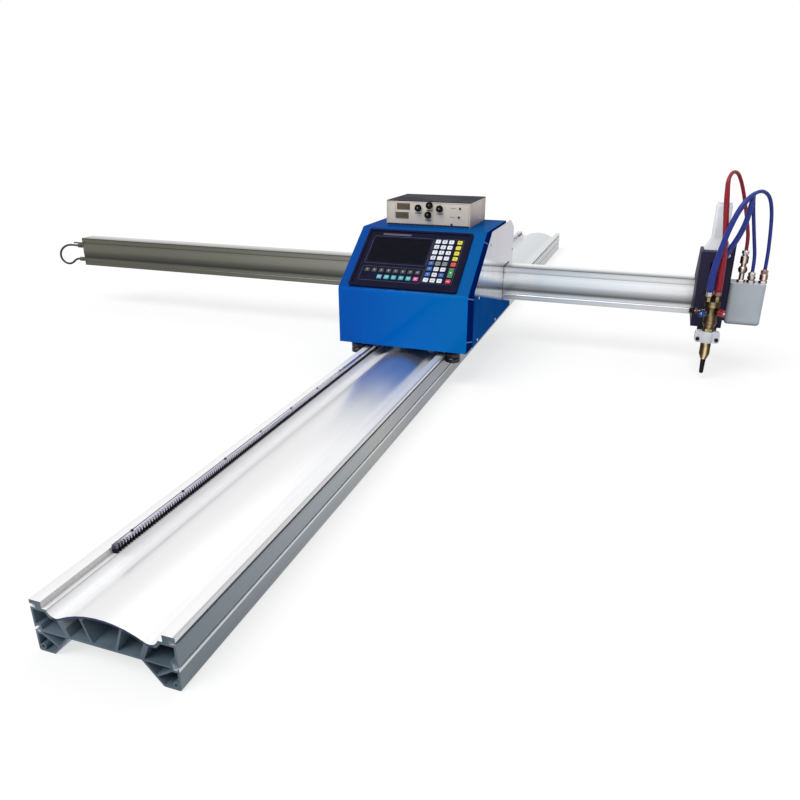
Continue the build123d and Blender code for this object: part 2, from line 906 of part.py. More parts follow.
def drive_gearboxes():
    """Reduction gearboxes of the rail drive and the beam drive."""
    half = gearbox_size / 2
    bore = pinion_shaft_radius + running_gap

    def gearbox(x, y, height):
        return block((x - half, x + half), (y - half, y + half), (base_top, base_top + height))

    rail_box = gearbox(rail_pinion_x, rail_drive_y, rail_gearbox_height)
    depth = rail_gearbox_height / 2 + running_gap
    rail_box -= rod((rail_pinion_x, rail_drive_y, base_top), (0, 0, 1), bore, depth)
    beam_box = gearbox(0, beam_pinion_y, beam_gearbox_height)
    depth = beam_gearbox_height / 2 + running_gap
    beam_box -= rod((0, beam_pinion_y, base_top + beam_gearbox_height - depth), (0, 0, 1), bore, depth)
    return [rail_box, beam_box]


def motor(base, direction):
    """Square motor with a narrower waist between its end bells."""
    plane = Plane(origin=base, x_dir=(0, 1, 0), z_dir=direction)
    waist = motor_size - motor_waist
    body = extrude(plane * Rectangle(waist, waist), motor_length)
    for start in (plane, plane.offset(motor_length - motor_bell)):
        body += extrude(start * Rectangle(motor_size, motor_size), motor_bell)
    return body


def drive_motors():
    """Stepper motors of the rail drive, upright, and of the beam drive, lying down."""
    upright = motor((rail_pinion_x, rail_drive_y, base_top + rail_gearbox_height), (0, 0, 1))
    lying = motor((gearbox_size / 2, beam_pinion_y, base_top + beam_gearbox_height / 2), (1, 0, 0))
    return [upright, lying]


def power_supply():
    """Switching supply on the base plate, with a stepped lid."""
    half_x = supply_width / 2
    half_y = supply_length / 2
    body = block(
        (supply_x - half_x, supply_x + half_x),
        (supply_y - half_y, supply_y + half_y),
        (base_top, base_top + supply_height),
    )
    step = block(
        (supply_x - half_x, supply_x + half_x),
        (supply_y - half_y, supply_y - half_y + supply_step),
        (base_top + terminal_height, base_top + supply_height),
    )
    return body - step


def panel_rect(width, height, start, thickness, corner):
    """Rounded slab on the slope, centred on the control panel."""
    face = RectangleRounded(width, height, corner)
    place = Pos(panel_x, panel_start + panel_height / 2, start)
    return place * extrude(face, thickness)


def controller_case():
    """Black controller with a raised rim, a screen recess and a housing behind the cover."""
    face = panel_rect(panel_width, panel_height, 0, panel_proud, panel_corner)
    rim = panel_rect(panel_width, panel_height, panel_proud, panel_rim_height, panel_corner)
    rim -= panel_rect(
        panel_width - 2 * panel_rim, panel_height - 2 * panel_rim, panel_proud, panel_rim_height, panel_corner / 2
    )
    margin = 2 * (case_margin + case_gap)
    housing = panel_rect(panel_width - margin, panel_height - margin, -case_depth, case_depth, panel_corner)
    recess = Pos(screen_x, screen_rise, panel_proud) * Box(screen_width, screen_height, 2 * screen_recess)
    return on_slope(face + rim + housing - recess)


def control_screen():
    """Display window in the bottom of its recess."""
    place = Pos(screen_x, screen_rise, panel_proud - screen_recess + screen_thickness / 2)
    return on_slope(place * Box(screen_width, screen_height, screen_thickness))


def keypad_keys():
    """Raised keys of the membrane keypad, as one group."""
    places = []
    for row in range(pad_rows):
        rise = pad_rise - row * key_pitch_y
        places += [(pad_x + column * key_pitch_x, rise) for column in range(pad_columns)]
        places.append((colour_column_x, rise))
    places += [(soft_key_x + i * soft_key_pitch, soft_key_rise) for i in range(soft_keys)]
    places += [(mode_key_x + i * soft_key_pitch, mode_key_rise) for i in range(mode_keys)]
    middle = panel_proud + key_height / 2
    return [on_slope(Pos(x, rise, middle) * Box(key_size, key_size, key_height)) for x, rise in places]


def thc_case():
    """Tray of the height controller: floor, sides and back."""
    ys = (thc_front + thc_panel_thickness, thc_front + thc_depth)
    top = host_top + thc_height - thc_lid
    outer = block((thc_left, thc_right), ys, (host_top, top))
    inner_ys = (ys[0] - cut_margin, ys[1] - thc_wall)
    inner_zs = (host_top + thc_wall, top + cut_margin)
    inner = block((thc_left + thc_wall, thc_right - thc_wall), inner_ys, inner_zs)
    return outer - inner


def thc_cover():
    """Dark lid of the height controller."""
    zs = (host_top + thc_height - thc_lid, host_top + thc_height)
    return block((thc_left, thc_right), (thc_front, thc_front + thc_depth), zs)


def thc_panel():
    """Front plate of the height controller, with four shaft ends."""
    ys = (thc_front, thc_front + thc_panel_thickness)
    plate = block((thc_left, thc_right), ys, (host_top, host_top + thc_height - thc_lid))
    for x, rise in thc_knob_places:
        base = (thc_x + x, thc_front, host_top + rise)
        plate += rod(base, (0, -1, 0), thc_shaft_radius, thc_shaft_length)
    return plate


def thc_displays():
    """Two numeric display windows on the front plate."""
    windows = []
    for x, rise in thc_display_places:
        middle_x = thc_x + x
        middle_z = host_top + rise
        windows.append(
            block(
                (middle_x - thc_display_width / 2, middle_x + thc_display_width / 2),
                (thc_front - thc_display_proud, thc_front),
                (middle_z - thc_display_height / 2, middle_z + thc_display_height / 2),
            )
        )
    return windows


def thc_knob(x, rise):
    """Turned knob with a flat pointer side, on its shaft end."""
    base = (thc_x + x, thc_front - rolling_gap, host_top + rise)
    skirt = rod(base, (0, -1, 0), thc_knob_radius, thc_skirt_height)
    grip = rod(base, (0, -1, 0), thc_grip_radius, thc_knob_height)
    half = thc_pointer_width / 2
    pointer = block(
        (base[0] - half, base[0] + half),
        (base[1] - thc_knob_height, base[1]),
        (base[2], base[2] + thc_knob_radius),
    )
    bore = rod(base, (0, -1, 0), thc_shaft_radius + running_gap, thc_shaft_length + rolling_gap)
    return skirt + grip + pointer - bore


def beam_section():
    """Beam in section as Y and Z: two lips, a bulging front and a flat back."""
    top = beam_height
    upper = top - beam_top_lip
    lower = beam_bottom_lip
    bulge = ThreePointArc((lip_step, upper), (-beam_bulge, (upper + lower) / 2), (lip_step, lower))
    rest = Polyline(
        (lip_step, lower),
        (0, lower - lip_step),
        (0, 0),
        (beam_depth, 0),
        (beam_depth, top),
        (0, top),
        (0, upper + lip_step),
        (lip_step, upper),
    )
    outline = make_face(bulge.edges() + rest.edges())
    wall = beam_wall
    rib = beam_rib_rise
    inner_front = lip_step + wall
    low_room = polygon(
        [(wall, wall), (beam_depth - wall, wall), (beam_depth - wall, rib), (inner_front, rib), (inner_front, lower)]
    )
    high_room = polygon(
        [
            (inner_front, rib + wall),
            (beam_depth - wall, rib + wall),
            (beam_depth - wall, top - wall),
            (wall, top - wall),
            (inner_front, upper),
        ]
    )
    return Pos(beam_front, beam_bottom) * (outline - low_room - high_room)


def beam_extrusion():
    """Aluminium cross beam."""
    return along_x(beam_section(), beam_left, beam_length)


def beam_rack():
    """Rack along the beam's back, teeth away from the beam."""
    outline = rack_outline(beam_length - 2 * beam_rack_end_gap, beam_rack_depth)
    place = Pos(beam_left + beam_rack_end_gap, beam_back, beam_rack_bottom)
    return place * extrude(outline, beam_rack_height)


def beam_end_cap():
    """Plate over the beam's left end, with a stop pin."""
    outer = beam_left - end_cap_thickness
    plate = block((outer, beam_left), (beam_front, beam_back), (beam_bottom, beam_top))
    base = (outer, beam_front + stop_pin_setback, beam_bottom + stop_pin_rise)
    return plate + rod(base, (-1, 0, 0), stop_pin_radius, stop_pin_length)


def cable_glands():
    """Two cable glands on the beam's left end."""
    glands = []
    for rise in (gland_upper_rise, gland_lower_rise):
        base = (beam_left - end_cap_thickness, beam_mid, beam_bottom + rise)
        cap_base = (base[0] - gland_length + gland_cap_length, base[1], base[2])
        body = hex_bar(base, (-1, 0, 0), gland_nut_radius, gland_nut_length)
        body += rod(base, (-1, 0, 0), gland_radius, gland_length)
        glands.append(body + rod(cap_base, (-1, 0, 0), gland_cap_radius, gland_cap_length))
    return glands


def tube(points, diameter, name):
    """Round tube along straight runs joined by arcs as large as the runs allow."""
    corners = [Vector(*p) for p in points]
    radii = []
    for before, here, after in zip(corners, corners[1:], corners[2:]):
        run_in = here - before
        run_out = after - here
        turn = math.radians(run_in.get_angle(run_out))
        radii.append(arc_share * min(run_in.length, run_out.length) / math.tan(turn / 2))
    path = FilletPolyline(*points, radius=radii)
    start = Plane(origin=path @ 0, z_dir=path % 0)
    body = sweep(start * Circle(diameter / 2), path=path)
    expected = math.pi * diameter**2 / 4 * path.length
    print(name, "length", round(path.length, 1), "least radius", round(min(radii), 1))
    print(name, "volume over section times length", round(body.volume / expected, 4))
    return body


def head_bracket():
    """Plate on the beam's right end that carries the lifter."""
    outline = [
        (lifter_front, lifter_bottom),
        (beam_back, beam_bottom),
        (beam_back, beam_top),
        (lifter_back, lifter_top),
        (lifter_front, lifter_top),
    ]
    return along_x(polygon(outline), beam_out, bracket_thickness)


def lifter_housing():
    """Lifter box with a front slot, an inner guide and a taller side cover."""
    wall = lifter_wall
    xs = (lifter_left, lifter_right)
    body = block(xs, (lifter_front, lifter_back), (lifter_bottom, lifter_top))
    inner_xs = (lifter_left + wall, lifter_right - wall)
    inner_zs = (lifter_bottom + wall, lifter_top - wall)
    body -= block(inner_xs, (lifter_front + wall, lifter_back - wall), inner_zs)
    slot_zs = (arm_bottom - lift_down - slot_end_gap, arm_bottom + arm_height + lift_up + slot_end_gap)
    slot_xs = (lifter_x - slot_width / 2, lifter_x + slot_width / 2)
    body -= block(slot_xs, (lifter_front - cut_margin, lifter_front + wall + cut_margin), slot_zs)
    guide_ys = (lifter_back - wall - guide_depth, lifter_back - wall)
    body += block((lifter_x - guide_width / 2, lifter_x + guide_width / 2), guide_ys, inner_zs)
    body -= rod((lifter_x, screw_y, lifter_bottom), (0, 0, 1), screw_radius + running_gap, lifter_height)
    cover_ys = (lifter_front + side_cover_setback, lifter_back - side_cover_setback)
    cover_zs = (lifter_bottom + side_cover_rise, lifter_top + side_cover_top)
    return body + block((lifter_right, gas_left), cover_ys, cover_zs)


def lifter_motor():
    """Gear motor on the lifter: tapered adapter, square can and a smaller cap."""
    base = Plane(origin=(lifter_x, screw_y, lifter_top))
    top = base.offset(adapter_height)
    can = RectangleRounded(lifter_motor_size, lifter_motor_size, lifter_motor_corner)
    adapter = loft([base * RectangleRounded(adapter_base, adapter_depth, lifter_motor_corner), top * can])
    body_height = lifter_motor_height - motor_cap_height
    body = extrude(top * can, body_height)
    cap_size = lifter_motor_size - 2 * motor_cap_inset
    cap = RectangleRounded(cap_size, cap_size, lifter_motor_corner - motor_cap_inset)
    return adapter + body + extrude(top.offset(body_height) * cap, motor_cap_height)


def lead_screw():
    """Lifting screw between the lifter's floor and roof."""
    base = (lifter_x, screw_y, lifter_bottom + screw_inset)
    return rod(base, (0, 0, 1), screw_radius, lifter_height - 2 * screw_inset)


def lift_slide():
    """Nut block inside the lifter, its arm through the slot and the plate outside."""
    half = slide_block_width / 2
    xs = (lifter_x - half, lifter_x + half)
    middle = arm_bottom + arm_height / 2
    zs = (middle - slide_block_height / 2, middle + slide_block_height / 2)
    guide_front = lifter_back - lifter_wall - guide_depth
    ys = (lifter_front + slide_block_gap, guide_front + guide_depth / 2)
    body = block(xs, ys, zs)
    groove = guide_width / 2 + guide_gap
    groove_ys = (guide_front - guide_gap, ys[1] + cut_margin)
    body -= block((lifter_x - groove, lifter_x + groove), groove_ys, zs)
    body -= rod((lifter_x, screw_y, zs[0]), (0, 0, 1), screw_radius + running_gap, slide_block_height)
    arm_xs = (lifter_x - arm_width / 2, lifter_x + arm_width / 2)
    body += block(arm_xs, (slide_front, ys[0] + cut_margin), (arm_bottom, arm_bottom + arm_height))
    plate_ys = (slide_front, slide_front + slide_plate_thickness)
    return body + block(xs, plate_ys, (slide_plate_bottom, arm_bottom + arm_height))


def torch_clamp():
    """Two eared half rings round the torch, the rear one with a neck to the slide's plate."""
    zs = (clamp_bottom, clamp_bottom + clamp_height)
    gap = clamp_split / 2
    axis = (torch_x, torch_y, clamp_bottom)
    ring = rod(axis, (0, 0, 1), clamp_barrel, clamp_height)
    ears = RectangleRounded(clamp_width, clamp_height, ear_corner)
    plate = Plane.XZ * Pos(torch_x, clamp_bottom + clamp_height / 2) * ears
    ring += Pos(0, torch_y, 0) * extrude(plate, gap + ear_thickness, both=True)
    neck_xs = (torch_x - clamp_neck / 2, torch_x + clamp_neck / 2)
    ring += block(neck_xs, (torch_y, slide_front), zs)
    ring -= rod(axis, (0, 0, 1), stem_radius + running_gap, clamp_height)
    reach = (torch_x - clamp_width, torch_x + clamp_width)
    front = ring - block(reach, (torch_y - gap, slide_front), zs)
    rear = ring - block(reach, (torch_y - clamp_width, torch_y + gap), zs)
    return [front, rear]


def clamp_bolts():
    """Two bolt heads with nuts that close the clamp."""
    z = clamp_bottom + clamp_height / 3
    reach = clamp_width / 2 - clamp_bolt_inset
    front = torch_y - clamp_split / 2 - ear_thickness
    bolts = []
    for x in (torch_x - reach, torch_x + reach):
        bolts.append(hex_bar((x, front, z), (0, -1, 0), clamp_bolt_head, clamp_bolt_height))
    return bolts


def turned(points):
    """Turned solid about the torch axis from radius and height points."""
    return Pos(torch_x, torch_y, 0) * revolve(Plane.XZ * polygon(points), Axis.Z)


def valve_place(valve):
    """Start and direction of a valve's axis."""
    angle, height, reach = valve
    direction = (math.cos(math.radians(angle)), math.sin(math.radians(angle)), 0)
    return (torch_x, torch_y, height), direction, reach


def torch_body():
    """Brass torch: nut, stem, manifold, three inlets and three valve bosses."""
    body = turned(
        [
            (0, nut_bottom),
            (nut_nose_radius, nut_bottom),
            (nut_radius, nut_bottom + nut_nose_length),
            (nut_radius, nut_top),
            (stem_radius, nut_top),
            (stem_radius, stem_top),
            (manifold_radius, stem_top + manifold_cone),
            (manifold_radius, manifold_top),
            (head_radius, manifold_top + head_cone),
            (head_radius, head_top),
            (0, head_top),
        ]
    )
    for x, y in torch_inlets:
        base = (torch_x + x, torch_y + y, head_top)
        body += hex_bar(base, (0, 0, 1), inlet_nut_radius, inlet_nut_height)
        body += rod(base, (0, 0, 1), inlet_neck_radius, inlet_top - head_top)
    for valve in (blue_valve, red_valve, black_valve):
        base, direction, reach = valve_place(valve)
        body += hex_bar(base, direction, valve_boss_radius, valve_boss_reach)
        body += rod(base, direction, valve_stem_radius, reach)
    return body


def torch_nozzle():
    """Dark cutting nozzle under the torch's nut."""
    return turned(
        [
            (0, torch_tip),
            (nozzle_tip_radius - nozzle_tip_round, torch_tip),
            (nozzle_tip_radius, torch_tip + nozzle_tip_round),
            (nozzle_radius, nut_bottom),
            (0, nut_bottom),
        ]
    )


def valve_knob(valve, radius):
    """Fluted knob on a valve's stem."""
    base, direction, reach = valve_place(valve)
    start = reach - knob_bore_depth
    plane = Plane(origin=base, z_dir=direction).offset(start)
    face = Circle(radius)
    for place in PolarLocations(radius, knob_flutes):
        face -= place * Circle(knob_flute_radius)
    knob = extrude(plane * face, knob_length)
    bore = extrude(plane * Circle(valve_stem_radius + running_gap), knob_bore_depth + rolling_gap)
    return knob - bore


def gas_box():
    """Grey box of the gas valves beside the lifter, with round corners and a round lower edge."""
    face = RectangleRounded(gas_width, gas_depth, gas_corner)
    place = Pos((gas_left + gas_right) / 2, gas_front + gas_depth / 2, gas_bottom)
    box = place * extrude(face, gas_height)
    return fillet(box.faces().sort_by(Axis.Z)[0].edges(), gas_bottom_round)


def gas_outlet(x, height, arrestor):
    """Outlet with a hex foot, a round body, a hose nut and a tail, drawn about its own axis."""
    nut_bottom = height - outlet_tail_length - outlet_nut_height
    shoulder = outlet_foot_height + outlet_shoulder
    profile = [(0, 0), (arrestor_waist_radius, 0)]
    if arrestor:
        profile += [
            (arrestor_waist_radius, arrestor_drum_bottom - outlet_shoulder),
            (outlet_body_radius, arrestor_drum_bottom),
            (outlet_body_radius, arrestor_drum_top),
            (arrestor_waist_radius, arrestor_drum_top + outlet_shoulder),
        ]
    else:
        profile += [
            (arrestor_waist_radius, outlet_foot_height),
            (outlet_body_radius, shoulder),
            (outlet_body_radius, nut_bottom - outlet_shoulder),
            (arrestor_waist_radius, nut_bottom),
        ]
    profile += [(arrestor_waist_radius, nut_bottom + cut_margin), (0, nut_bottom + cut_margin)]
    body = revolve(Plane.XZ * polygon(profile), Axis.Z)
    body += hex_bar((0, 0, 0), (0, 0, 1), outlet_foot_radius, outlet_foot_height)
    body += hex_bar((0, 0, nut_bottom), (0, 0, 1), outlet_nut_radius, outlet_nut_height)
    body += rod((0, 0, nut_bottom), (0, 0, 1), outlet_tail_radius, height - nut_bottom)
    if arrestor:
        body += Pos(0, 0, arrestor_ball_rise) * Sphere(arrestor_ball_radius)
    return Pos(gas_left + x, gas_front + gas_outlet_y, gas_top) * body


def gas_outlets():
    """Three outlets on the gas box, the first one with a flashback arrestor."""
    return [gas_outlet(x, height, i == 0) for i, (x, height) in enumerate(gas_outlet_places)]


def model():
    """Every node of the machine by name, each as one solid or a group of solids."""
    nodes = {
        "rail_extrusion": rail_extrusion(),
        "gear_rack": gear_rack(),
        "rack_screws": rack_screws(),
        "base_plate": base_plate(),
        "front_cover": front_cover(),
        "side_plate_right": side_plate(),
        "side_plate_left": mirror(side_plate(), Plane.YZ),
        "rear_cover": rear_cover(),
        "cover_screws": cover_screws(),
        "axle_blocks": axle_blocks(),
        "front_wheel_set": wheel_set(axle_ys[0]),
        "rear_wheel_set": wheel_set(axle_ys[1]),
        "roller_pins": roller_pins(),
        "beam_saddles": beam_saddles(),
        "drive_gearboxes": drive_gearboxes(),
        "drive_motors": drive_motors(),
        "rail_pinion": rail_pinion(),
        "beam_pinion": beam_pinion(),
        "power_supply": power_supply(),
        "controller_case": controller_case(),
        "control_screen": control_screen(),
        "keypad_keys": keypad_keys(),
        "thc_case": thc_case(),
        "thc_cover": thc_cover(),
        "thc_panel": thc_panel(),
        "thc_displays": thc_displays(),
        "beam_extrusion": beam_extrusion(),
        "beam_rack": beam_rack(),
        "beam_end_cap": beam_end_cap(),
        "cable_glands": cable_glands(),
        "cable_loop": tube(cable_route, cable_diameter, "cable_loop"),
        "head_bracket": head_bracket(),
        "lifter_housing": lifter_housing(),
        "lifter_motor": lifter_motor(),
        "lead_screw": lead_screw(),
        "lift_slide": lift_slide(),
        "torch_clamp": torch_clamp(),
        "clamp_bolts": clamp_bolts(),
        "torch_body": torch_body(),
        "torch_nozzle": torch_nozzle(),
        "valve_knob_blue": valve_knob(blue_valve, knob_radius),
        "valve_knob_red": valve_knob(red_valve, knob_radius),
        "valve_knob_black": valve_knob(black_valve, small_knob_radius),
        "gas_box": gas_box(),
        "gas_outlets": gas_outlets(),
        "hose_red": tube(red_route, hose_diameter, "hose_red"),
        "hose_blue_outer": tube(outer_route, hose_diameter, "hose_blue_outer"),
        "hose_blue_inner": tube(inner_route, hose_diameter, "hose_blue_inner"),
    }
    for y, row in zip(axle_ys, ("front", "rear")):
        nodes[f"side_roller_{row}_left"] = side_roller(-side_roller_x, y)
        nodes[f"side_roller_{row}_right"] = side_roller(side_roller_x, y)
    for z, row in zip(roller_zs, ("lower", "upper")):
        nodes[f"beam_roller_{row}_left"] = beam_roller(-beam_roller_x, z)
        nodes[f"beam_roller_{row}_right"] = beam_roller(beam_roller_x, z)
    for i, (x, rise) in enumerate(thc_knob_places):
        nodes[f"thc_knob_{i + 1}"] = thc_knob(x, rise)
    return nodes


def save(nodes):
    """Write each node with the origin under the middle of the machine."""
    os.makedirs("parts", exist_ok=True)
    move = Pos(-origin_x, -origin_y, 0)
    for name, shape in nodes.items():
        if isinstance(shape, list):
            shape = Compound(children=shape)
        export_step(move * shape, f"parts/{name}.step")


save(model())
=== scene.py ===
from math import atan2, cos, pi, radians, sin

import bmesh
import bpy
from mathutils import Matrix, Vector


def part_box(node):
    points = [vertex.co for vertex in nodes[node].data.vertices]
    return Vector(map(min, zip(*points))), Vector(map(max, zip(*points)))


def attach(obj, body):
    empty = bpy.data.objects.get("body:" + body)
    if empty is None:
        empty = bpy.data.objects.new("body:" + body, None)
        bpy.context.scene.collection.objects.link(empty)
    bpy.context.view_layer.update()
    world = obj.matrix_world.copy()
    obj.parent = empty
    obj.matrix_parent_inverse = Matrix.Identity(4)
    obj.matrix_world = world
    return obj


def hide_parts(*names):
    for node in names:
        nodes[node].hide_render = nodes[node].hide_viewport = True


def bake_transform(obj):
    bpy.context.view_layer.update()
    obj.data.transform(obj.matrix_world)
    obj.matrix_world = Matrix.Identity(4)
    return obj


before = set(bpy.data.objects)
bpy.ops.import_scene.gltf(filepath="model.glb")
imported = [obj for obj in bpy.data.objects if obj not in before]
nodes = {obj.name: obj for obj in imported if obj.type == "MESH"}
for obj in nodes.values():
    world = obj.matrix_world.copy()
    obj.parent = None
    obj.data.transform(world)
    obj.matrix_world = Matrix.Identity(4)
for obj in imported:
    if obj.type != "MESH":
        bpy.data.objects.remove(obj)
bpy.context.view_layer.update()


def rgb(red, green, blue):
    """Linear colour from the usual 0 to 255 values."""
    shares = [value / 255 for value in (red, green, blue)]
    return tuple(s / 12.92 if s < 0.04045 else ((s + 0.055) / 1.055) ** 2.4 for s in shares)


def tone_stops(*rows):
    """Ramp stops from rows of a place and a colour."""
    return [(place, rgb(*colour)) for place, *colour in rows]


# Places are given in machine millimetres: X from the rail's middle, Y from its near end, Z up
MM = 0.001
rail_low, rail_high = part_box("rail_extrusion")
rail_middle = (rail_low.x + rail_high.x) / 2

# Camera, fitted to the photograph's straight edges
CAMERA_PLACE = (622.1, -576.5, 693.5)
CAMERA_AZIMUTH = 19.571
CAMERA_ELEVATION = 21.852
CAMERA_LENS = 31.889
CAMERA_SENSOR = 36
CAMERA_REACH = 200

# Light over pi, so that 1 shows a colour about as written; suns have a direction and a spread
WORLD_LEVEL = 0.40
SUNS = {"key_light": (0.62, (-0.25, -0.52, 0.82), 40), "top_light": (0.20, (0.10, 0.15, 0.98), 90)}
FLOOR_SHADE = 0.30
FLOOR_GLOW = 0.69
FLOOR_BOUNCE = 0.55
FLOOR_REACH = 60

# Middle and wide range of a cloudy pattern, and usual relief in metres
CLOUD = (0.3, 0.7)
WIDE_CLOUD = (0.2, 0.8)
RELIEF = 0.0002

# Rounds on sharp edges: width, least angle, and the gap that is closed before
ROUND_WIDTH = 0.8
ROUND_ANGLE = 40
ROUND_GAP = 0.02
ROUND_NODES = [
    "front_cover", "rear_cover", "thc_case", "thc_cover", "thc_panel", "controller_case",
    "lifter_housing", "head_bracket", "lifter_motor", "torch_clamp", "beam_end_cap",
]

# Rail's tones, painted shade: level across the deck, colour along the outer sides
DECK_TONES = [
    (-117.5, 0.8), (-99, 0.86), (-91, 0.88), (-85, 0.84), (-77, 0.9), (-58, 0.88), (-30, 0.86),
    (20, 0.8), (70, 0.82), (100, 0.88), (113, 0.86), (115, 0.45), (117.5, 0.45),
]
SIDE_TONES = tone_stops(
    (0, 118, 132, 142), (420, 164, 172, 178), (720, 186, 188, 186),
    (1000, 160, 161, 172), (1700, 196, 198, 199), (3500, 214, 215, 217),
)

# Rail's zones: the places where a zone's share is 0 and where it is 1
# The ledge, rim and slot zones hold painted highlights; the far deck, wall and bed zones hold painted
# shade
DECK_Z = (50, 53)
DECK_FAR_Y = (1400, 2100)
LEDGE_Z = [(30.5, 32), (36.6, 36.2)]
RIM_Z = (78, 79.5)
WALL_Z = (72, 74)
WALL_REACH = (112, 110)
BED_X = (-89.5, -90.5)
BED_Y = (139, 141)
BED_Z = (79, 77)
SLOT_Z = [(31, 32), (45, 44)]
SLOT_REACH = (107, 108)
OUTER_REACH = (116.4, 117)
TROUGH_X = (-34, -54)
CROWN_X = [(-54, -34), (72, 56)]
CROWN_BEND = 0.0034
CROWN_RIM = (79.2, 80.2)
CROWN_REACH = (84, 80)

# Gear rack: top of its painted-shade dark part, width of its rear edge's painted shadow, and zones as for
# the rail
RACK_SHADE_TOP = 83.2
RACK_SHADOW_EDGE = 1.8
RACK_Z = (95, 92)
# Near end painted darker as shade, far part painted pale as light
RACK_NEAR_Y = (138, 175)
RACK_FADE_Y = (1750, 2100)
RACK_FADE_END = (100, 130)

# Beam: front face, depth of the painted shade on its top, and its painted reflection: level by height,
# tint along it
BEAM_FRONT = 1625
BEAM_TOP_SHADE = 52
BEAM_REFLECTION_BANDS = [
    (152, 0.7), (160, 0.76), (166, 0.6), (173, 0.95), (178, 0.6), (183, 0.15), (187, 0.2),
    (191, 0.34), (197, 0.47), (203, 0.66), (209, 0.92), (217, 1), (226, 0.98), (232, 0.86),
    (238, 0.78), (245, 0.94), (251, 0.8), (254, 0.2),
]
BEAM_REFLECTION_TINTS = tone_stops(
    (-1466, 101, 99, 86), (-1100, 100, 100, 89), (-800, 109, 110, 98),
    (-450, 128, 128, 118), (-200, 140, 140, 132), (180, 252, 253, 254),
    (236, 252, 253, 254), (300, 219, 228, 236), (420, 226, 234, 242),
    (560, 242, 246, 251), (740, 253, 253, 254),
)

# Torch brass: dark, middle and bright tone of its painted reflection stripes, and the heights between
# which it turns darker
TORCH_TONES = (rgb(54, 38, 24), rgb(124, 96, 54), rgb(230, 212, 164))
TORCH_DULL_Z = (152, 164)

# Sloping front of the host, and light lines on its side strips, painted glints on the edges of slots
HOST_FRONT = 1183
HOST_BEND = 256
SLOPE_RUN = 191
SLOPE_RISE = 139
SLOPE_ANGLE = atan2(SLOPE_RISE, SLOPE_RUN)
STRIP_GLINT_LINES = (134, 252, 415)
GLINT_EDGE = (2.2, 1.2)

# Mirror-like part of the side plates, above a line that falls towards the back; its tones are the beam's
# painted reflection
MIRROR_BACK = 1625
MIRROR_FALL = 0.26
MIRROR_LOW = 146
MIRROR_HIGH = 158
MIRROR_REFLECTION_TONES = tone_stops(
    (MIRROR_LOW, 222, 228, 238), (178, 222, 228, 238), (186, 142, 180, 228),
    (196, 158, 192, 230), (210, 246, 249, 252), (226, 246, 249, 252),
    (246, 230, 233, 240), (260, 150, 150, 164), (420, 144, 143, 156),
)

# Prints: how deep they start in a face and how far they stand out of it
PRINT_LOW = -0.1
PRINT_HIGH = 0.15

# Control panel on the slope: its face, its frames (place, size and corner) and its strip
PANEL_FACE = 4
PANEL_FRAMES = [(-46, 145, 178, 104, 5), (-46, 56, 178, 52, 4), (88, 116, 84, 164, 4)]
PANEL_LINE = 0.8
PANEL_STRIP = (-69, 205, 84, 7)

# Keypad: rows of keys up the slope, with one colour for each key
KEY_SIZE = 14
KEY_HEIGHT = 1.2
KEY_CORNER = 2.2
KEY_EDGE = 0.5
KEY_LOW = PANEL_FACE - 0.3
KEY_TOP = PANEL_FACE + KEY_HEIGHT
PAD_COLUMNS = (57, 76, 95)
PAD_SIDE = 119
PAD_TOP = 187
PAD_PITCH = 20.3
PAD_ROWS = [
    *[("white", "white", "white", "yellow")] * 4,
    ("blue", "grey", "grey", "orange"),
    ("blue", "white", "white", None),
    ("blue", "white", "blue", None),
    ("white", "white", "white", "red"),
]
START_ROW = 5.5
SOFT_KEYS = 8
SOFT_START = -118
SOFT_RISE = 68
MODE_KEYS = 6
MODE_START = -76
MODE_RISE = 45
ROW_PITCH = 20.9

# Signs on the keys: depth, inks, sizes of numerals and of plain strokes
SIGN_DEPTH = (KEY_TOP - 0.05, KEY_TOP + 0.12)
INK_DARK = 0
INK_PALE = 1
PAD_SIGNS = ["789", "456", "123", "0.-"]
NUMERAL_SIZE = 9
ARROW_SIZE = 10
ARROW_DROP = 1.5
SOFT_SIZE = 8
KEY_DASH = (7, 1.5)
START_DOT = 2.6
MODE_DASHES = [(1.5, (7.5, 1.3)), (-1.5, (5, 1.3))]

# Height controller's front
THC_FRONT = 1433
THC_X = -7.5
THC_BOTTOM = 395
THC_DISPLAYS = [(-81.5, 448.5), (-85.5, 423.5)]
THC_KNOBS = [(-36, 445.5), (-2, 454), (28.5, 445.5), (-6, 427)]
THC_KNOB_TOP = 13.3
THC_LAMPS = [(89, 448), (86, 424), (65, 403)]
LABELLED_LAMPS = 2

# Digits on its displays, each of seven strokes: across, up and turn
DIGITS = 4
DIGIT_START = -13.5
DIGIT_PITCH = 9
DIGIT_STROKE = (4.4, 1)
DIGIT_DEPTH = (0.9, 1.15)
SEGMENTS = [
    (0, 5, 0), (0, 0, 0), (0, -5, 0),
    (-2.5, 2.5, 90), (2.5, 2.5, 90), (-2.5, -2.5, 90), (2.5, -2.5, 90),
]

# Its other prints: strokes, frame, divider, lamps and pointer dots (also painted highlights); a painted
# shadow along its foot
SCALE_RADIUS = 12.4
SCALE_TURNS = range(-120, 121, 60)
SCALE_TICK = (1.8, 0.6)
KNOB_LABEL = (19, 2.6)
KNOB_LABEL_DROP = 14.5
LAMP_LABEL = (15, 1.3)
LAMP_LABEL_SHIFT = 19
THC_FRAME = (430, 246, 61, 3, 0.7)
THC_DIVIDER = (-107, 436, 38, 0.8, 90)
FOOT_SHADOW_RISE = 2.3
FOOT_SHADOW_LINE = (252, 4.2, PRINT_LOW, 0.3, 0.6, 0.1)
LAMP_RIM = (3.8, -0.2, 1.2, 0.5)
LAMP_LENS = (2.7, 0.5, 3.4, 1.2)
POINTER_SHIFT = (1.5, 2)
POINTER_HIGHLIGHT = (1.2, THC_KNOB_TOP - 0.2, THC_KNOB_TOP + 0.3, 0.15)

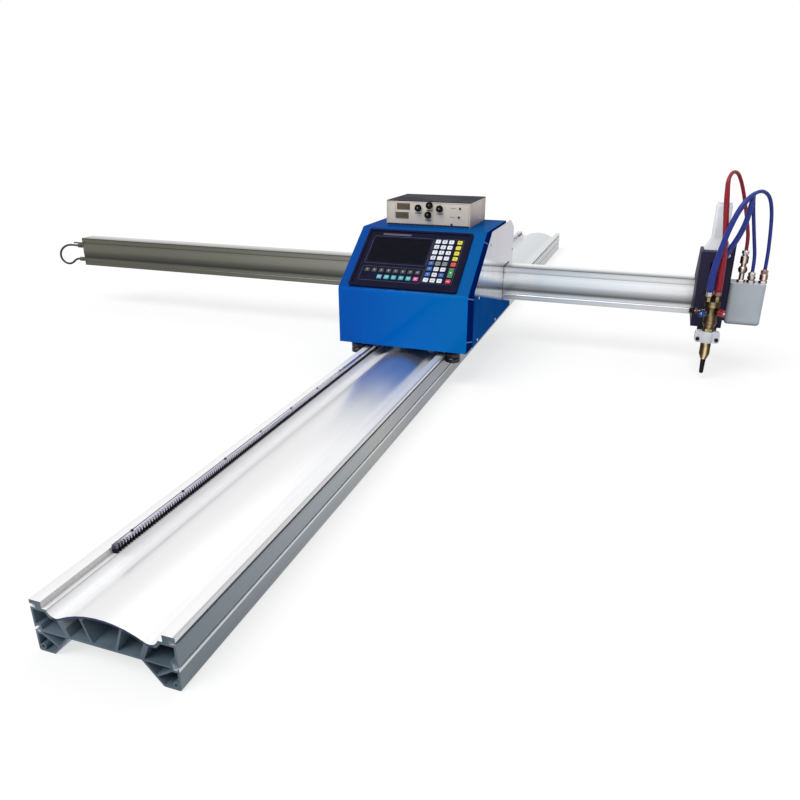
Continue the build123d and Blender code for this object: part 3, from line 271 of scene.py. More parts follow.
# Hoses and cable, with the same points as the solids
HOSE_DIAMETER = 9.5
CABLE_DIAMETER = 8
TUBE_SIDES = 20
RED_ROUTE = [
    (801, 1490, 252), (801, 1490, 294), (800, 1491, 342), (796, 1495, 400), (788, 1500, 462),
    (783, 1504, 512), (781, 1507, 541), (789, 1523, 559), (804, 1546, 557), (817, 1562, 535),
    (829, 1565, 502), (841, 1566, 460), (852, 1566, 418), (859, 1565, 385), (859, 1565, 356),
]
OUTER_ROUTE = [
    (779, 1480, 252), (779, 1480, 300), (787, 1480, 352), (797, 1482, 405), (811, 1486, 452),
    (827, 1494, 486), (848, 1514, 508), (870, 1537, 514), (891, 1555, 499), (903, 1563, 463),
    (909, 1565, 416), (913, 1565, 362), (914, 1565, 332), (914, 1565, 306),
]
INNER_ROUTE = [
    (783, 1502, 252), (783, 1502, 284), (795, 1502, 326), (811, 1503, 361), (827, 1504, 393),
    (839, 1506, 428), (844, 1508, 458), (846, 1510, 484), (848, 1525, 502), (852, 1549, 504),
    (855, 1565, 486), (860, 1567, 456), (868, 1567, 415), (876, 1566, 374), (884, 1565, 334),
    (884, 1565, 298),
]
CABLE_Y = 1657
CABLE_LOOP = [
    (-1516, 219), (-1532, 219), (-1551, 220), (-1575, 217), (-1597, 206), (-1614, 187), (-1615, 164),
    (-1600, 148), (-1579, 143), (-1560, 148), (-1543, 161), (-1530, 167), (-1516, 167),
]
CABLE_ROUTE = [(x, CABLE_Y, z) for x, z in CABLE_LOOP]

# Thick sleeve on each hose: share of the hose's length and radius there
SLEEVE_STEPS = [(0, 9), (0.06, 9.2), (0.16, 8.2), (0.26, 7.2), (0.44, 7), (0.50, 6), (0.54, 4.85)]

# Nuts at the hoses' ends: how far they start below the end, then radius and height
NUT_DROP = 12
TORCH_NUT = (9.2, 13)
OUTLET_NUT = (9.6, 10)
NUT_PROFILE = [(0.86, 0), (1, 0.14), (1, 0.86), (0.86, 1)]

# Torch: axis, collars (foot, radius, length, sides) and valves (angle, height, reach)
TORCH_AXIS = (791, 1490)
TORCH_COLLARS = [(141.5, 16.8, 9, 6), (166, 19, 5, 24), (212, 21.7, 5, 24)]
TORCH_VALVES = {"blue": (232, 196, 40), "red": (316, 199, 38), "black": (180, 195, 52)}
PACKING_GAP = 20
PACKING_NUT = (8.4, 8)
KNOB_FACE = 4
# Pale screw on each knob, also a painted highlight: radius, depths and edge
KNOB_SCREW_HIGHLIGHT = (3.2, -0.5, 0.9, 0.5)

# White cap on the lifter's front: middle, then radius, depths and edge of its steps
CAP_PLACE = (815, 1530, 343)
CAP_STEPS = [(5.5, -0.5, 2, 0.8), (3.2, 1, 2.6, 0.5)]


def at(x, y, z):
    """Frame point from machine millimetres."""
    return Vector((rail_middle + x * MM, rail_low.y + y * MM, z * MM))


def face_matrix(origin, across=(1, 0, 0), up=(0, 0, 1)):
    """Matrix from millimetres on a flat face to the frame."""
    across = Vector(across).normalized()
    up = Vector(up).normalized()
    matrix = Matrix((across, up, across.cross(up))).transposed().to_4x4()
    return Matrix.Translation(at(*origin)) @ matrix @ Matrix.Scale(MM, 4)


SLOPE_FACE = face_matrix((0, HOST_FRONT, HOST_BEND), up=(0, cos(SLOPE_ANGLE), sin(SLOPE_ANGLE)))
THC_FACE = face_matrix((0, THC_FRONT, 0))


def put(name, data):
    """New object in the scene."""
    made = bpy.data.objects.new(name, data)
    bpy.context.scene.collection.objects.link(made)
    return made


def add_node(tree, kind, settings=(), **inputs):
    """New node, with inputs set or linked by name, or by number as i0, i1 and so on."""
    made = tree.nodes.new("ShaderNode" + kind)
    for key, value in dict(settings).items():
        setattr(made, key, value)
    for key, value in inputs.items():
        socket = made.inputs[int(key[1:])] if key[0] == "i" and key[1:].isdigit() else made.inputs[key]
        if isinstance(value, bpy.types.NodeSocket):
            tree.links.new(value, socket)
        else:
            socket.default_value = value
    return made


class Look:
    """A material being made, with short calls for its nodes."""

    SOCKETS = {
        "colour": "Base Color", "rough": "Roughness", "metal": "Metallic", "sheen": "Specular IOR Level",
        "coat": "Coat Weight",
    }

    def __init__(self, name, colour, rough, metal=0.0, sheen=0.5):
        self.material = bpy.data.materials.new(name)
        self.material.use_nodes = True
        self.tree = self.material.node_tree
        self.shader = self.tree.nodes["Principled BSDF"]
        values = {"colour": (*colour, 1.0), "rough": rough, "metal": metal, "sheen": sheen}
        for key, value in values.items():
            self.shader.inputs[self.SOCKETS[key]].default_value = value

    def add(self, kind, settings=(), **inputs):
        """New node in this material."""
        return add_node(self.tree, kind, settings, **inputs)

    def place(self, stretch=(1, 1, 1)):
        """Place in the frame in metres, stretched along the axes."""
        point = self.add("TexCoord").outputs["Object"]
        return self.add("Mapping", Vector=point, Scale=stretch).outputs["Vector"]

    def noise(self, scale, detail=3.0, stretch=(1, 1, 1)):
        """Cloudy pattern from 0 to 1."""
        point = self.place(stretch)
        return self.add("TexNoise", Vector=point, Scale=scale, Detail=detail).outputs["Fac"]

    def math(self, operation, first, second=0.5):
        """Sum, product or the like of two values."""
        return self.add("Math", {"operation": operation}, i0=first, i1=second).outputs["Value"]

    def both(self, *shares):
        """Product of several values."""
        total = shares[0]
        for share in shares[1:]:
            total = self.math("MULTIPLY", total, share)
        return total

    def between(self, value, low, high, first=0.0, last=1.0):
        """Value taken smoothly from one range to another."""
        smooth = {"interpolation_type": "SMOOTHSTEP"}
        return self.add("MapRange", smooth, i0=value, i1=low, i2=high, i3=first, i4=last).outputs["Result"]

    def within(self, value, *limits):
        """Share that lies inside several soft limits."""
        return self.both(*(self.between(value, *limit) for limit in limits))

    def cloudy(self, pattern, first=0.0, last=1.0):
        """Value from first to last by a cloudy pattern."""
        return self.between(pattern, *CLOUD, first, last)

    def ramp(self, value, stops):
        """Colour that runs through stops of place and colour."""
        low, high = stops[0][0], stops[-1][0]
        share = self.add("MapRange", i0=value, i1=low, i2=high)
        made = self.add("ValToRGB", Fac=share.outputs["Result"])
        elements = made.color_ramp.elements
        while len(elements) < len(stops):
            elements.new(1.0)
        for element, (place, colour) in zip(elements, stops):
            element.position = (place - low) / (high - low)
            element.color = (*colour, 1.0)
        return made.outputs["Color"]

    def blend(self, factor, first, second, kind="MIX"):
        """Colour between two colours."""
        settings = {"data_type": "RGBA", "blend_type": kind}
        ends = [c if isinstance(c, bpy.types.NodeSocket) else (*c, 1.0) for c in (first, second)]
        return self.add("Mix", settings, i0=factor, i6=ends[0], i7=ends[1]).outputs[2]

    def mottled(self, pattern, colour, low, high):
        """Colour that follows a pattern between two shares of itself."""
        return self.blend(self.cloudy(pattern), lighter(colour, low), lighter(colour, high))

    def facing(self, axis):
        """Surface's direction along an axis, from -1 to 1."""
        direction = self.add("TexCoord").outputs["Normal"]
        return self.add("SeparateXYZ", Vector=direction).outputs[axis]

    def sideways(self, axis):
        """1 on faces that look along an axis, either way."""
        return self.between(self.math("ABSOLUTE", self.facing(axis)), 0.8, 0.95)

    def along(self, axis):
        """Place along an axis in machine millimetres."""
        made = self.add("SeparateXYZ", Vector=self.place((1 / MM, 1 / MM, 1 / MM)))
        start = at(0, 0, 0)[axis] / MM
        return self.math("SUBTRACT", made.outputs[axis], start)

    def finish(self, relief, strength, distance=RELIEF, **values):
        """Material with its relief and other values set."""
        bump = self.add("Bump", Height=relief, Strength=strength, Distance=distance)
        self.tree.links.new(bump.outputs["Normal"], self.shader.inputs["Normal"])
        for key, value in values.items():
            self.tree.links.new(value, self.shader.inputs[self.SOCKETS[key]])
        return self.material


def lighter(colour, share):
    """Colour made lighter or darker by a share."""
    return tuple(min(1.0, c * share) for c in colour)


def grey(level):
    """Plain grey of a linear level."""
    return (level, level, level)


def drawn_lines(look, along_axis):
    """Fine lines along an extrusion."""
    fine = [900.0, 900.0, 900.0]
    fine[along_axis] = 1.2
    return look.noise(1, 2, tuple(fine))


def deck_tone(look, x, y, lines):
    """White deck with fine lines, with painted shade across it and a greyer painted shade far behind the
    host.
    """
    deck = look.ramp(x, [(place, (level, level, level * 1.01)) for place, level in DECK_TONES])
    deck = look.blend(look.cloudy(lines, 0, 0.10), deck, grey(0.45))
    return look.blend(look.between(y, *DECK_FAR_Y, 0, 0.9), deck, rgb(198, 202, 205))


def side_tone(look, y, z, lines):
    """Outer sides with painted shade along them, and painted highlights on the ledge and rim."""
    side = look.ramp(y, SIDE_TONES)
    side = look.blend(look.cloudy(lines, 0, 0.25), side, grey(0.10))
    side = look.blend(look.within(z, *LEDGE_Z), side, rgb(226, 232, 234))
    return look.blend(look.between(z, *RIM_Z), side, rgb(232, 234, 238))


def cut_tone(look, x, z, reach, hollow):
    """Cut ends painted dark as shade, navy along the crown's edge."""
    crown = look.math("ADD", z, look.both(x, x, CROWN_BEND))
    rim = look.both(look.between(crown, *CROWN_RIM), look.between(reach, *CROWN_REACH))
    cut = look.blend(hollow, rgb(62, 76, 92), rgb(84, 100, 114))
    return look.blend(rim, cut, rgb(28, 30, 78))


def rail_look():
    """Drawn aluminium with painted light and shade: white deck, grey walls and sides, a bright slot, a
    dark bed under the rack's teeth, dark ends.
    """
    look = Look("rail_alloy", rgb(100, 116, 130), 0.3, 0.5)
    lines = drawn_lines(look, 1)
    x, y, z = (look.along(axis) for axis in range(3))
    reach = look.math("ABSOLUTE", x)
    hollow = look.between(look.noise(14, 2), 0.35, 0.65)
    upper = look.both(look.between(look.facing(2), 0.3, 0.5), look.between(z, *DECK_Z))
    inner = look.both(look.sideways(0), look.between(z, *WALL_Z), look.between(reach, *WALL_REACH))
    near = look.both(upper, look.between(x, *BED_X), look.between(y, *BED_Y))
    bed = look.both(near, look.between(z, *BED_Z))
    slot = look.both(look.within(z, *SLOT_Z), look.between(reach, *SLOT_REACH))
    outer = look.both(look.sideways(0), look.between(reach, *OUTER_REACH))
    # Chambers and other faces: slate that stands in for their shade, made lighter as painted light
    shade = look.blend(hollow, rgb(88, 104, 118), rgb(126, 146, 160))
    shade = look.blend(upper, shade, deck_tone(look, x, y, lines))
    # Sideways faces high inside the flanges: mid-grey painted shade
    shade = look.blend(inner, shade, grey(0.55))
    # Ledge under the rack's teeth: painted shade, so the gaps between teeth look dark
    shade = look.blend(bed, shade, rgb(34, 34, 42))
    # Slot: painted bright, a painted highlight
    shade = look.blend(slot, shade, rgb(214, 222, 226))
    # Outer sides and cut ends, each with their painted shade
    shade = look.blend(outer, shade, side_tone(look, y, z, lines))
    shade = look.blend(look.sideways(1), shade, cut_tone(look, x, z, reach, hollow))
    crown_metal = look.between(look.both(upper, look.within(x, *CROWN_X)), 0, 1, 0.45, 0.97)
    trough_metal = look.between(look.both(upper, look.between(x, *TROUGH_X)), 0, 1, 0, -0.40)
    metal = look.math("ADD", crown_metal, trough_metal)
    fine = look.between(lines, *WIDE_CLOUD, 0.16, 0.26)
    rough = look.math("ADD", fine, look.between(upper, 0, 1, 0.18, 0.11))
    return look.finish(lines, 0.08, colour=shade, rough=rough, metal=metal)


def beam_look():
    """Anodised beam with its reflection painted in lengthwise bands, darker and more olive to the left."""
    look = Look("beam_alloy", grey(0.6), 0.3, 0.5)
    lines = drawn_lines(look, 0)
    x, y, z = (look.along(axis) for axis in range(3))
    # Bands by height and tint along the beam: painted reflection
    steps = look.ramp(z, [(place, grey(level)) for place, level in BEAM_REFLECTION_BANDS])
    tint = look.ramp(x, BEAM_REFLECTION_TINTS)
    shade = look.blend(1, tint, steps, "MULTIPLY")
    # Top: pale as painted light, with a painted shade strip along its front edge
    top = look.between(look.facing(2), 0.8, 0.95)
    pale_top = look.blend(0.5, tint, grey(0.95))
    front_edge = look.between(y, BEAM_FRONT + BEAM_TOP_SHADE, BEAM_FRONT)
    shade = look.blend(top, shade, look.blend(front_edge, pale_top, rgb(104, 106, 106)))
    shade = look.blend(look.cloudy(lines, 0, 0.12), shade, grey(0.08))
    shade = look.blend(look.sideways(0), shade, rgb(96, 98, 100))
    rough = look.between(lines, *WIDE_CLOUD, 0.24, 0.38)
    return look.finish(lines, 0.10, colour=shade, rough=rough)


def rack_look():
    """Ground steel with painted light and shade: pale top and upper teeth, dark roots, a painted shadow on
    the rear edge, a darker near end.
    """
    look = Look("rack_steel", rgb(40, 40, 48), 0.4, 0.2, sheen=0.1)
    streaks = look.noise(1, 3, (400, 6, 400))
    x, y, z = (look.along(axis) for axis in range(3))
    low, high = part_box("gear_rack")
    shadow_edge_start = (low.x - at(0, 0, 0).x) / MM + RACK_SHADOW_EDGE
    far_end = (high.y - rail_low.y) / MM
    on_rail = look.between(z, *RACK_Z)
    top = look.between(look.facing(2), 0.5, 0.8)
    raised = look.both(on_rail, look.between(z, RACK_SHADE_TOP - 1, RACK_SHADE_TOP + 1))
    # Pale top and upper teeth: painted light; dark lower teeth: painted shade; rear edge: painted shadow
    pale = look.blend(look.cloudy(streaks), rgb(176, 174, 188), rgb(222, 220, 232))
    pale = look.blend(look.between(y, *RACK_NEAR_Y), rgb(92, 94, 108), pale)
    dark = look.blend(look.cloudy(streaks), rgb(20, 20, 27), rgb(34, 34, 42))
    fade_end = [far_end - gap for gap in RACK_FADE_END]
    dark = look.blend(look.within(y, RACK_FADE_Y, fade_end), dark, rgb(206, 206, 210))
    edge = look.both(top, on_rail, look.between(x, shadow_edge_start + 0.4, shadow_edge_start))
    bright = look.math("MAXIMUM", top, raised)
    shade = look.blend(edge, look.blend(bright, dark, pale), rgb(60, 60, 70))
    metal = look.between(bright, 0, 1, 0.2, 0.92)
    worn = look.between(streaks, *WIDE_CLOUD, 0.30, 0.48)
    rough = look.math("SUBTRACT", worn, look.between(bright, 0, 1, 0, 0.18))
    return look.finish(streaks, 0.08, colour=shade, rough=rough, metal=metal)


def cover_look():
    """Glossy blue coat with painted shade: darker upward faces, navy side strips, light lines painted on
    the strips as glints.
    """
    left, right = rgb(1, 87, 184), rgb(1, 108, 190)
    look = Look("cover_blue", left, 0.3, sheen=0.0)
    look.shader.inputs["Coat Roughness"].default_value = 0.04
    shade = look.ramp(look.along(0), [(-150, left), (150, right)])
    # Upward faces: painted shade, darker the more they face up
    tops = look.ramp(look.facing(2), [(0.35, grey(1)), (0.75, grey(0.66)), (1, grey(0.54))])
    shade = look.blend(1, shade, tops, "MULTIPLY")
    patches = look.noise(4, 2)
    shade = look.blend(look.cloudy(patches, 0, 0.12), shade, rgb(0, 60, 140))
    # Side strips: navy painted shade, crossed by light lines painted as glints on slot edges
    strip = rgb(3, 34, 114)
    depth = look.math("SUBTRACT", look.along(1), HOST_FRONT)
    height = look.math("ADD", look.along(2), look.both(depth, MIRROR_FALL))
    for seam in STRIP_GLINT_LINES:
        offset = look.math("ABSOLUTE", look.math("SUBTRACT", height, seam))
        strip = look.blend(look.between(offset, *GLINT_EDGE), strip, rgb(120, 142, 190))
    shade = look.blend(look.sideways(0), shade, strip)
    front = look.between(look.facing(1), -0.4, -0.7, 0, 0.10)
    roof = look.between(look.facing(2), 0.7, 0.9, 0, 0.05)
    coat = look.math("ADD", front, roof)
    return look.finish(look.noise(600, 1), 0.02, colour=shade, coat=coat)


def side_look():
    """Side plates: deep blue below, above a metallic mirror with the beam's reflection painted in."""
    blue = rgb(20, 88, 166)
    look = Look("side_blue", blue, 0.06, sheen=0.0)
    patches = look.noise(5, 2)
    shade = look.mottled(patches, blue, 0.85, 1.15)
    fall = look.both(look.math("SUBTRACT", look.along(1), MIRROR_BACK), MIRROR_FALL)
    height = look.math("ADD", look.along(2), fall)
    polish = look.between(height, MIRROR_LOW, MIRROR_HIGH)
    streaks = look.noise(1, 1, (1, 22, 2))
    # Tones by height: the beam's reflection, painted
    mirror = look.ramp(height, MIRROR_REFLECTION_TONES)
    mirror = look.blend(look.between(streaks, 0.35, 0.7, 0, 0.30), mirror, rgb(176, 172, 184))
    shade = look.blend(polish, shade, mirror)
    rough = look.cloudy(patches, 0.05, 0.09)
    return look.finish(look.noise(500, 1), 0.02, colour=shade, rough=rough, metal=polish)


def sprayed(look, shade, patches, low, high):
    """Material with the sheen and relief of sprayed paint."""
    rough = look.cloudy(patches, low, high)
    return look.finish(look.noise(700, 1), 0.04, colour=shade, rough=rough)


def satin_enamel(name, colour, side_shade=0.5):
    """Satin enamel, with faces that look sideways darker as painted shade."""
    look = Look(name, colour, 0.5, sheen=0.1)
    patches = look.noise(9)
    shade = look.mottled(patches, colour, 0.9, 1.1)
    shade = look.blend(look.sideways(0), shade, lighter(colour, side_shade))
    return sprayed(look, shade, patches, 0.45, 0.56)


def paint(name, colour, rough, sheen=0.5):
    """Powder coat with a fine orange-peel surface."""
    look = Look(name, colour, rough, sheen=sheen)
    patches = look.noise(9)
    shade = look.mottled(patches, colour, 0.90, 1.08)
    return sprayed(look, shade, patches, rough - 0.05, rough + 0.07)


def shaded_paint(name, *rows, rough=0.4):
    """Enamel with painted shade, its tone following rows of a height and a colour."""
    stops = tone_stops(*rows)
    look = Look(name, stops[-1][1], rough, sheen=0.3)
    patches = look.noise(12)
    shade = look.ramp(look.along(2), stops)
    shade = look.blend(look.between(patches, 0.35, 0.7, 0, 0.12), shade, grey(0.05))
    return sprayed(look, shade, patches, rough - 0.05, rough + 0.07)


def plastic(name, colour, rough, sheen=0.5):
    """Moulded plastic with a fine grain."""
    look = Look(name, colour, rough, sheen=sheen)
    wear = look.noise(40)
    shade = look.blend(look.between(wear, 0.35, 0.7), lighter(colour, 0.88), lighter(colour, 1.1))
    worn = look.cloudy(wear, rough - 0.06, rough + 0.08)
    return look.finish(look.noise(1500, 2), 0.10, colour=shade, rough=worn)


def steel(name, tone, rough):
    """Turned or ground steel with fine tool lines."""
    look = Look(name, tone, rough, 1.0)
    lines = look.noise(6, 3, (60, 60, 60))
    shade = look.mottled(lines, tone, 0.75, 1.15)
    worn = look.between(lines, *WIDE_CLOUD, rough - 0.08, rough + 0.12)
    return look.finish(lines, 0.1, colour=shade, rough=worn)


def brass(name, tones, rough=0.24, dull=0.0):
    """Worn brass with bright and dark stripes by facing as painted reflections, grime and a darker upper
    part.
    """
    look = Look(name, tones[1], rough, 0.9)
    dark, middle, bright = tones
    places = [
        (-1, dark), (-0.66, dark), (-0.4, middle), (-0.18, bright), (0.04, bright), (0.24, middle),
        (0.55, dark), (1, dark),
    ]
    # Stripes by the surface's direction: painted reflections
    wave = look.math("ADD", look.facing(0), look.cloudy(look.noise(24, 1), -0.12, 0.12))
    shade = look.ramp(wave, places)
    grime = look.noise(36, 1)
    shade = look.blend(look.between(grime, 0.45, 0.75, 0, 0.6), shade, dark)
    shade = look.blend(look.between(look.along(2), *TORCH_DULL_Z, 0, dull), shade, dark)
    worn = look.cloudy(grime, rough - 0.06, rough + 0.16)
    return look.finish(look.noise(420, 1), 0.08, colour=shade, rough=worn)


def rubber(name, colour, rough=0.42):
    """Hose or cable skin with a faint mottle."""
    look = Look(name, colour, rough, sheen=0.35)
    mottle = look.noise(160)
    shade = look.mottled(mottle, colour, 0.8, 1.2)
    worn = look.between(mottle, *WIDE_CLOUD, rough - 0.06, rough + 0.1)
    return look.finish(look.noise(900, 2), 0.12, 0.0003, colour=shade, rough=worn)


def dress(material, *names):
    """Give CAD nodes their finish."""
    for name in names:
        slots = nodes[name].data.materials
        slots.clear()
        slots.append(material)


def dress_host():
    """Finish of the cabinet and what is in it."""
    dress(cover_look(), "front_cover", "rear_cover")
    dress(side_look(), "side_plate_left", "side_plate_right")
    dress(steel("bolt_steel", rgb(206, 208, 214), 0.25), "cover_screws")
    dress(paint("base_grey", rgb(44, 46, 50), 0.45), "beam_saddles", "axle_blocks")
    dress(paint("base_blue", rgb(16, 96, 184), 0.35), "base_plate")
    dress(steel("cast_alloy", rgb(150, 152, 156), 0.4), "drive_gearboxes")
    dress(paint("motor_black", rgb(30, 30, 33), 0.4), "drive_motors")
    dress(steel("supply_metal", rgb(200, 202, 206), 0.4), "power_supply")
    # Rollers and lead screw: steel darkened as painted shade under the host
    rollers = [name for name in nodes if "roller_" in name or "wheel_set" in name]
    dress(steel("roller_steel", rgb(58, 58, 64), 0.3), *rollers, "lead_screw")
    dress(plastic("case_black", rgb(20, 21, 44), 0.34, sheen=0.03), "controller_case")
    dress(plastic("screen_dark", rgb(12, 13, 23), 0.14, sheen=0.03), "control_screen")


def dress_thc():
    """Finish of the height controller and its knobs."""
    # Case darker towards its bottom as painted shade
    dress(shaded_paint("thc_beige", (THC_BOTTOM, 164, 150, 150), (450, 218, 200, 184)), "thc_case")
    dress(paint("thc_dark", rgb(34, 34, 44), 0.5, sheen=0.02), "thc_cover")
    dress(shaded_paint("thc_front", (THC_BOTTOM, 218, 209, 197), (462, 230, 221, 208)), "thc_panel")
    dress(plastic("display_brown", rgb(104, 92, 76), 0.3, sheen=0.2), "thc_displays")
    knobs = [name for name in nodes if name.startswith("thc_knob")]
    dress(plastic("knob_black", rgb(15, 15, 17), 0.35, sheen=0.12), *knobs, "valve_knob_black")


def dress_rail_and_beam():
    """Finish of the rail, the beam and the racks."""
    dress(rail_look(), "rail_extrusion")
    dress(beam_look(), "beam_extrusion")
    dress(rack_look(), "gear_rack", "beam_rack", "rail_pinion", "beam_pinion")
    dress(steel("screw_black", rgb(36, 36, 40), 0.4), "rack_screws", "clamp_bolts")
    dress(plastic("cap_dark", rgb(58, 58, 54), 0.4), "beam_end_cap")
    dress(plastic("gland_dark", rgb(74, 72, 56), 0.4), "cable_glands")


def dress_head():
    """Finish of the lifter, the gas box and the torch."""
    dress(satin_enamel("lifter_dark", rgb(46, 43, 66)), "head_bracket", "lifter_housing")
    dress(paint("slide_dark", rgb(40, 37, 52), 0.5, sheen=0.2), "lift_slide")
    dress(shaded_paint("motor_grey", (345, 246, 248, 252), (480, 240, 243, 250)), "lifter_motor")
    # Gas box: darker along its bottom edge as painted shade
    dress(shaded_paint("gas_grey", (153, 132, 138, 146), (166, 178, 187, 196)), "gas_box")
    dress(brass("torch_brass", TORCH_TONES, dull=0.6), "torch_body")
    dress(brass("outlet_brass", (rgb(84, 66, 60), rgb(166, 142, 130), rgb(240, 228, 220))), "gas_outlets")
    dress(satin_enamel("clamp_white", rgb(226, 228, 236), 0.20), "torch_clamp")
    dress(brass("nozzle_dark", (rgb(12, 11, 11), rgb(24, 23, 22), rgb(46, 44, 42)), 0.36), "torch_nozzle")
    dress(plastic("knob_blue", rgb(14, 62, 124), 0.18), "valve_knob_blue")
    dress(plastic("knob_red", rgb(152, 20, 30), 0.25), "valve_knob_red")


def soften():
    """Small rounds along the sharp edges of CAD nodes."""
    for name in ROUND_NODES:
        weld = nodes[name].modifiers.new("weld", "WELD")
        weld.merge_threshold = ROUND_GAP * MM
        bevel = nodes[name].modifiers.new("rounds", "BEVEL")
        bevel.width = ROUND_WIDTH * MM
        bevel.segments = 2
        bevel.limit_method = "ANGLE"
        bevel.angle_limit = radians(ROUND_ANGLE)


def piece(name, mesh, body, slot, *materials):
    """New object that rides on a body."""
    made = put(name, mesh)
    for material in materials:
        mesh.materials.append(material)
    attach(made, body)
    return made


def skin(mesh, rings, ends=True):
    """Walls from ring to ring, closed at the ends or in a loop."""
    faces = []
    for low, high in zip(rings, rings[1:] if ends else rings[1:] + rings[:1]):
        for i in range(len(low)):
            j = (i + 1) % len(low)
            faces.append(mesh.faces.new((low[i], low[j], high[j], high[i])))
    if ends:
        faces.append(mesh.faces.new(list(reversed(rings[0]))))
        faces.append(mesh.faces.new(rings[-1]))
    return faces


def finished(mesh, name):
    """Mesh data from a drawn mesh."""
    data = bpy.data.meshes.new(name)
    mesh.to_mesh(data)
    mesh.free()
    return data


class Relief:
    """Low raised shapes, drawn in millimetres on a flat face."""

    CORNER_STEPS = 5
    LEAST_CORNER = 0.05
    SAME_PLACE = 0.0005

    def __init__(self):
        self.mesh = bmesh.new()

    def ring(self, x, y, width, height, corner, out):
        """Rounded rectangle of points at a height over the face."""
        points = []
        for side_x, side_y, start in ((1, 1, 0), (-1, 1, 90), (-1, -1, 180), (1, -1, 270)):
            middle = Vector((x + side_x * (width / 2 - corner), y + side_y * (height / 2 - corner), out))
            for step in range(self.CORNER_STEPS + 1):
                turn = radians(start + 90 * step / self.CORNER_STEPS)
                arm = Vector((cos(turn), sin(turn), 0))
                points.append(self.mesh.verts.new(middle + corner * arm))
        return points

    def cover(self, rings, tone, ends=True):
        """Skin of one tone over rings."""
        for face in skin(self.mesh, rings, ends):
            face.material_index = tone

    def plate(self, x, y, width, height, low, high, corner, edge, tone=0):
        """Raised plate with round corners and a slanted edge."""
        slim = max(corner - edge, self.LEAST_CORNER)
        rings = [
            self.ring(x, y, width, height, corner, low),
            self.ring(x, y, width, height, corner, high - edge),
            self.ring(x, y, width - 2 * edge, height - 2 * edge, slim, high),
        ]
        self.cover(rings, tone)

    def disc(self, x, y, radius, low, high, edge, tone=0):
        """Raised round button."""
        self.plate(x, y, 2 * radius, 2 * radius, low, high, radius, edge, tone)

    def outline(self, x, y, width, height, corner, line, low=PRINT_LOW, high=PRINT_HIGH):
        """Thin raised line round a rectangle."""
        inner = (width - 2 * line, height - 2 * line, max(corner - line, self.LEAST_CORNER))
        rings = [
            self.ring(x, y, width, height, corner, low),
            self.ring(x, y, width, height, corner, high),
            self.ring(x, y, *inner, high),
            self.ring(x, y, *inner, low),
        ]
        self.cover(rings, 0, ends=False)

    def bar(self, x, y, length, width, turn, low=PRINT_LOW, high=PRINT_HIGH, tone=0):
        """Thin raised stroke at an angle."""
        before = set(self.mesh.verts)
        self.plate(0, 0, length, width, low, high, width * 0.2, (high - low) * 0.3, tone)
        made = [v for v in self.mesh.verts if v not in before]
        move = Matrix.Translation((x, y, 0)) @ Matrix.Rotation(radians(turn), 4, "Z")
        bmesh.ops.transform(self.mesh, matrix=move, verts=made)

    def sign(self, text, x, y, size, tone=INK_DARK):
        """Plain numeral or mark on a key."""
        low, high = SIGN_DEPTH
        data = bpy.data.curves.new("sign", "FONT")
        data.body = text
        data.size = size
        data.align_x = "CENTER"
        data.align_y = "CENTER"
        data.extrude = (high - low) / 2
        data.resolution_u = 3
        text_object = put("sign", data)
        bpy.context.view_layer.update()
        made = bpy.data.meshes.new_from_object(text_object)
        made.transform(Matrix.Translation((x, y, (low + high) / 2)))
        count = len(self.mesh.faces)
        self.mesh.from_mesh(made)
        self.mesh.faces.ensure_lookup_table()
        for face in self.mesh.faces[count:]:
            face.material_index = tone
        bpy.data.objects.remove(text_object)
        bpy.data.meshes.remove(made)
        bpy.data.curves.remove(data)

    def build(self, name, matrix, body, slot, *materials):
        """Object of all the shapes, set on its face."""
        bmesh.ops.remove_doubles(self.mesh, verts=self.mesh.verts, dist=self.SAME_PLACE)
        bmesh.ops.recalc_face_normals(self.mesh, faces=self.mesh.faces)
        bmesh.ops.transform(self.mesh, matrix=matrix, verts=self.mesh.verts)
        return piece(name, finished(self.mesh, name), body, slot, *materials)


def key_materials():
    """Printed key colours by name."""
    colours = {
        "white": (214, 218, 228), "yellow": (214, 206, 30), "blue": (20, 84, 160),
        "grey": (112, 124, 122), "orange": (206, 62, 30), "green": (24, 118, 56),
        "red": (186, 30, 66), "teal": (50, 160, 168), "magenta": (190, 62, 132),
        "dark": (22, 22, 28),
    }
    return {name: plastic("key_" + name, rgb(*colour), 0.4) for name, colour in colours.items()}


def pad_keys(key, signs):
    """Number keys, and the coloured keys beside and under them."""
    for row, colours in enumerate(PAD_ROWS):
        rise = PAD_TOP - PAD_PITCH * row
        for column, (x, colour) in enumerate(zip((*PAD_COLUMNS, PAD_SIDE), colours)):
            if colour is None:
                continue
            key(x, rise, colour)
            if row < len(PAD_SIGNS) and column < len(PAD_COLUMNS):
                signs.sign(PAD_SIGNS[row][column], x, rise, NUMERAL_SIZE)
            elif colour == "blue":
                signs.sign("^", x, rise - ARROW_DROP, ARROW_SIZE, INK_PALE)
            else:
                signs.bar(x, rise, *KEY_DASH, 0, *SIGN_DEPTH, INK_PALE if colour == "red" else INK_DARK)
    start_rise = PAD_TOP - START_ROW * PAD_PITCH
    key(PAD_SIDE, start_rise, "green", KEY_SIZE + PAD_PITCH)
    signs.disc(PAD_SIDE, start_rise, START_DOT, *SIGN_DEPTH, 0.05, INK_PALE)


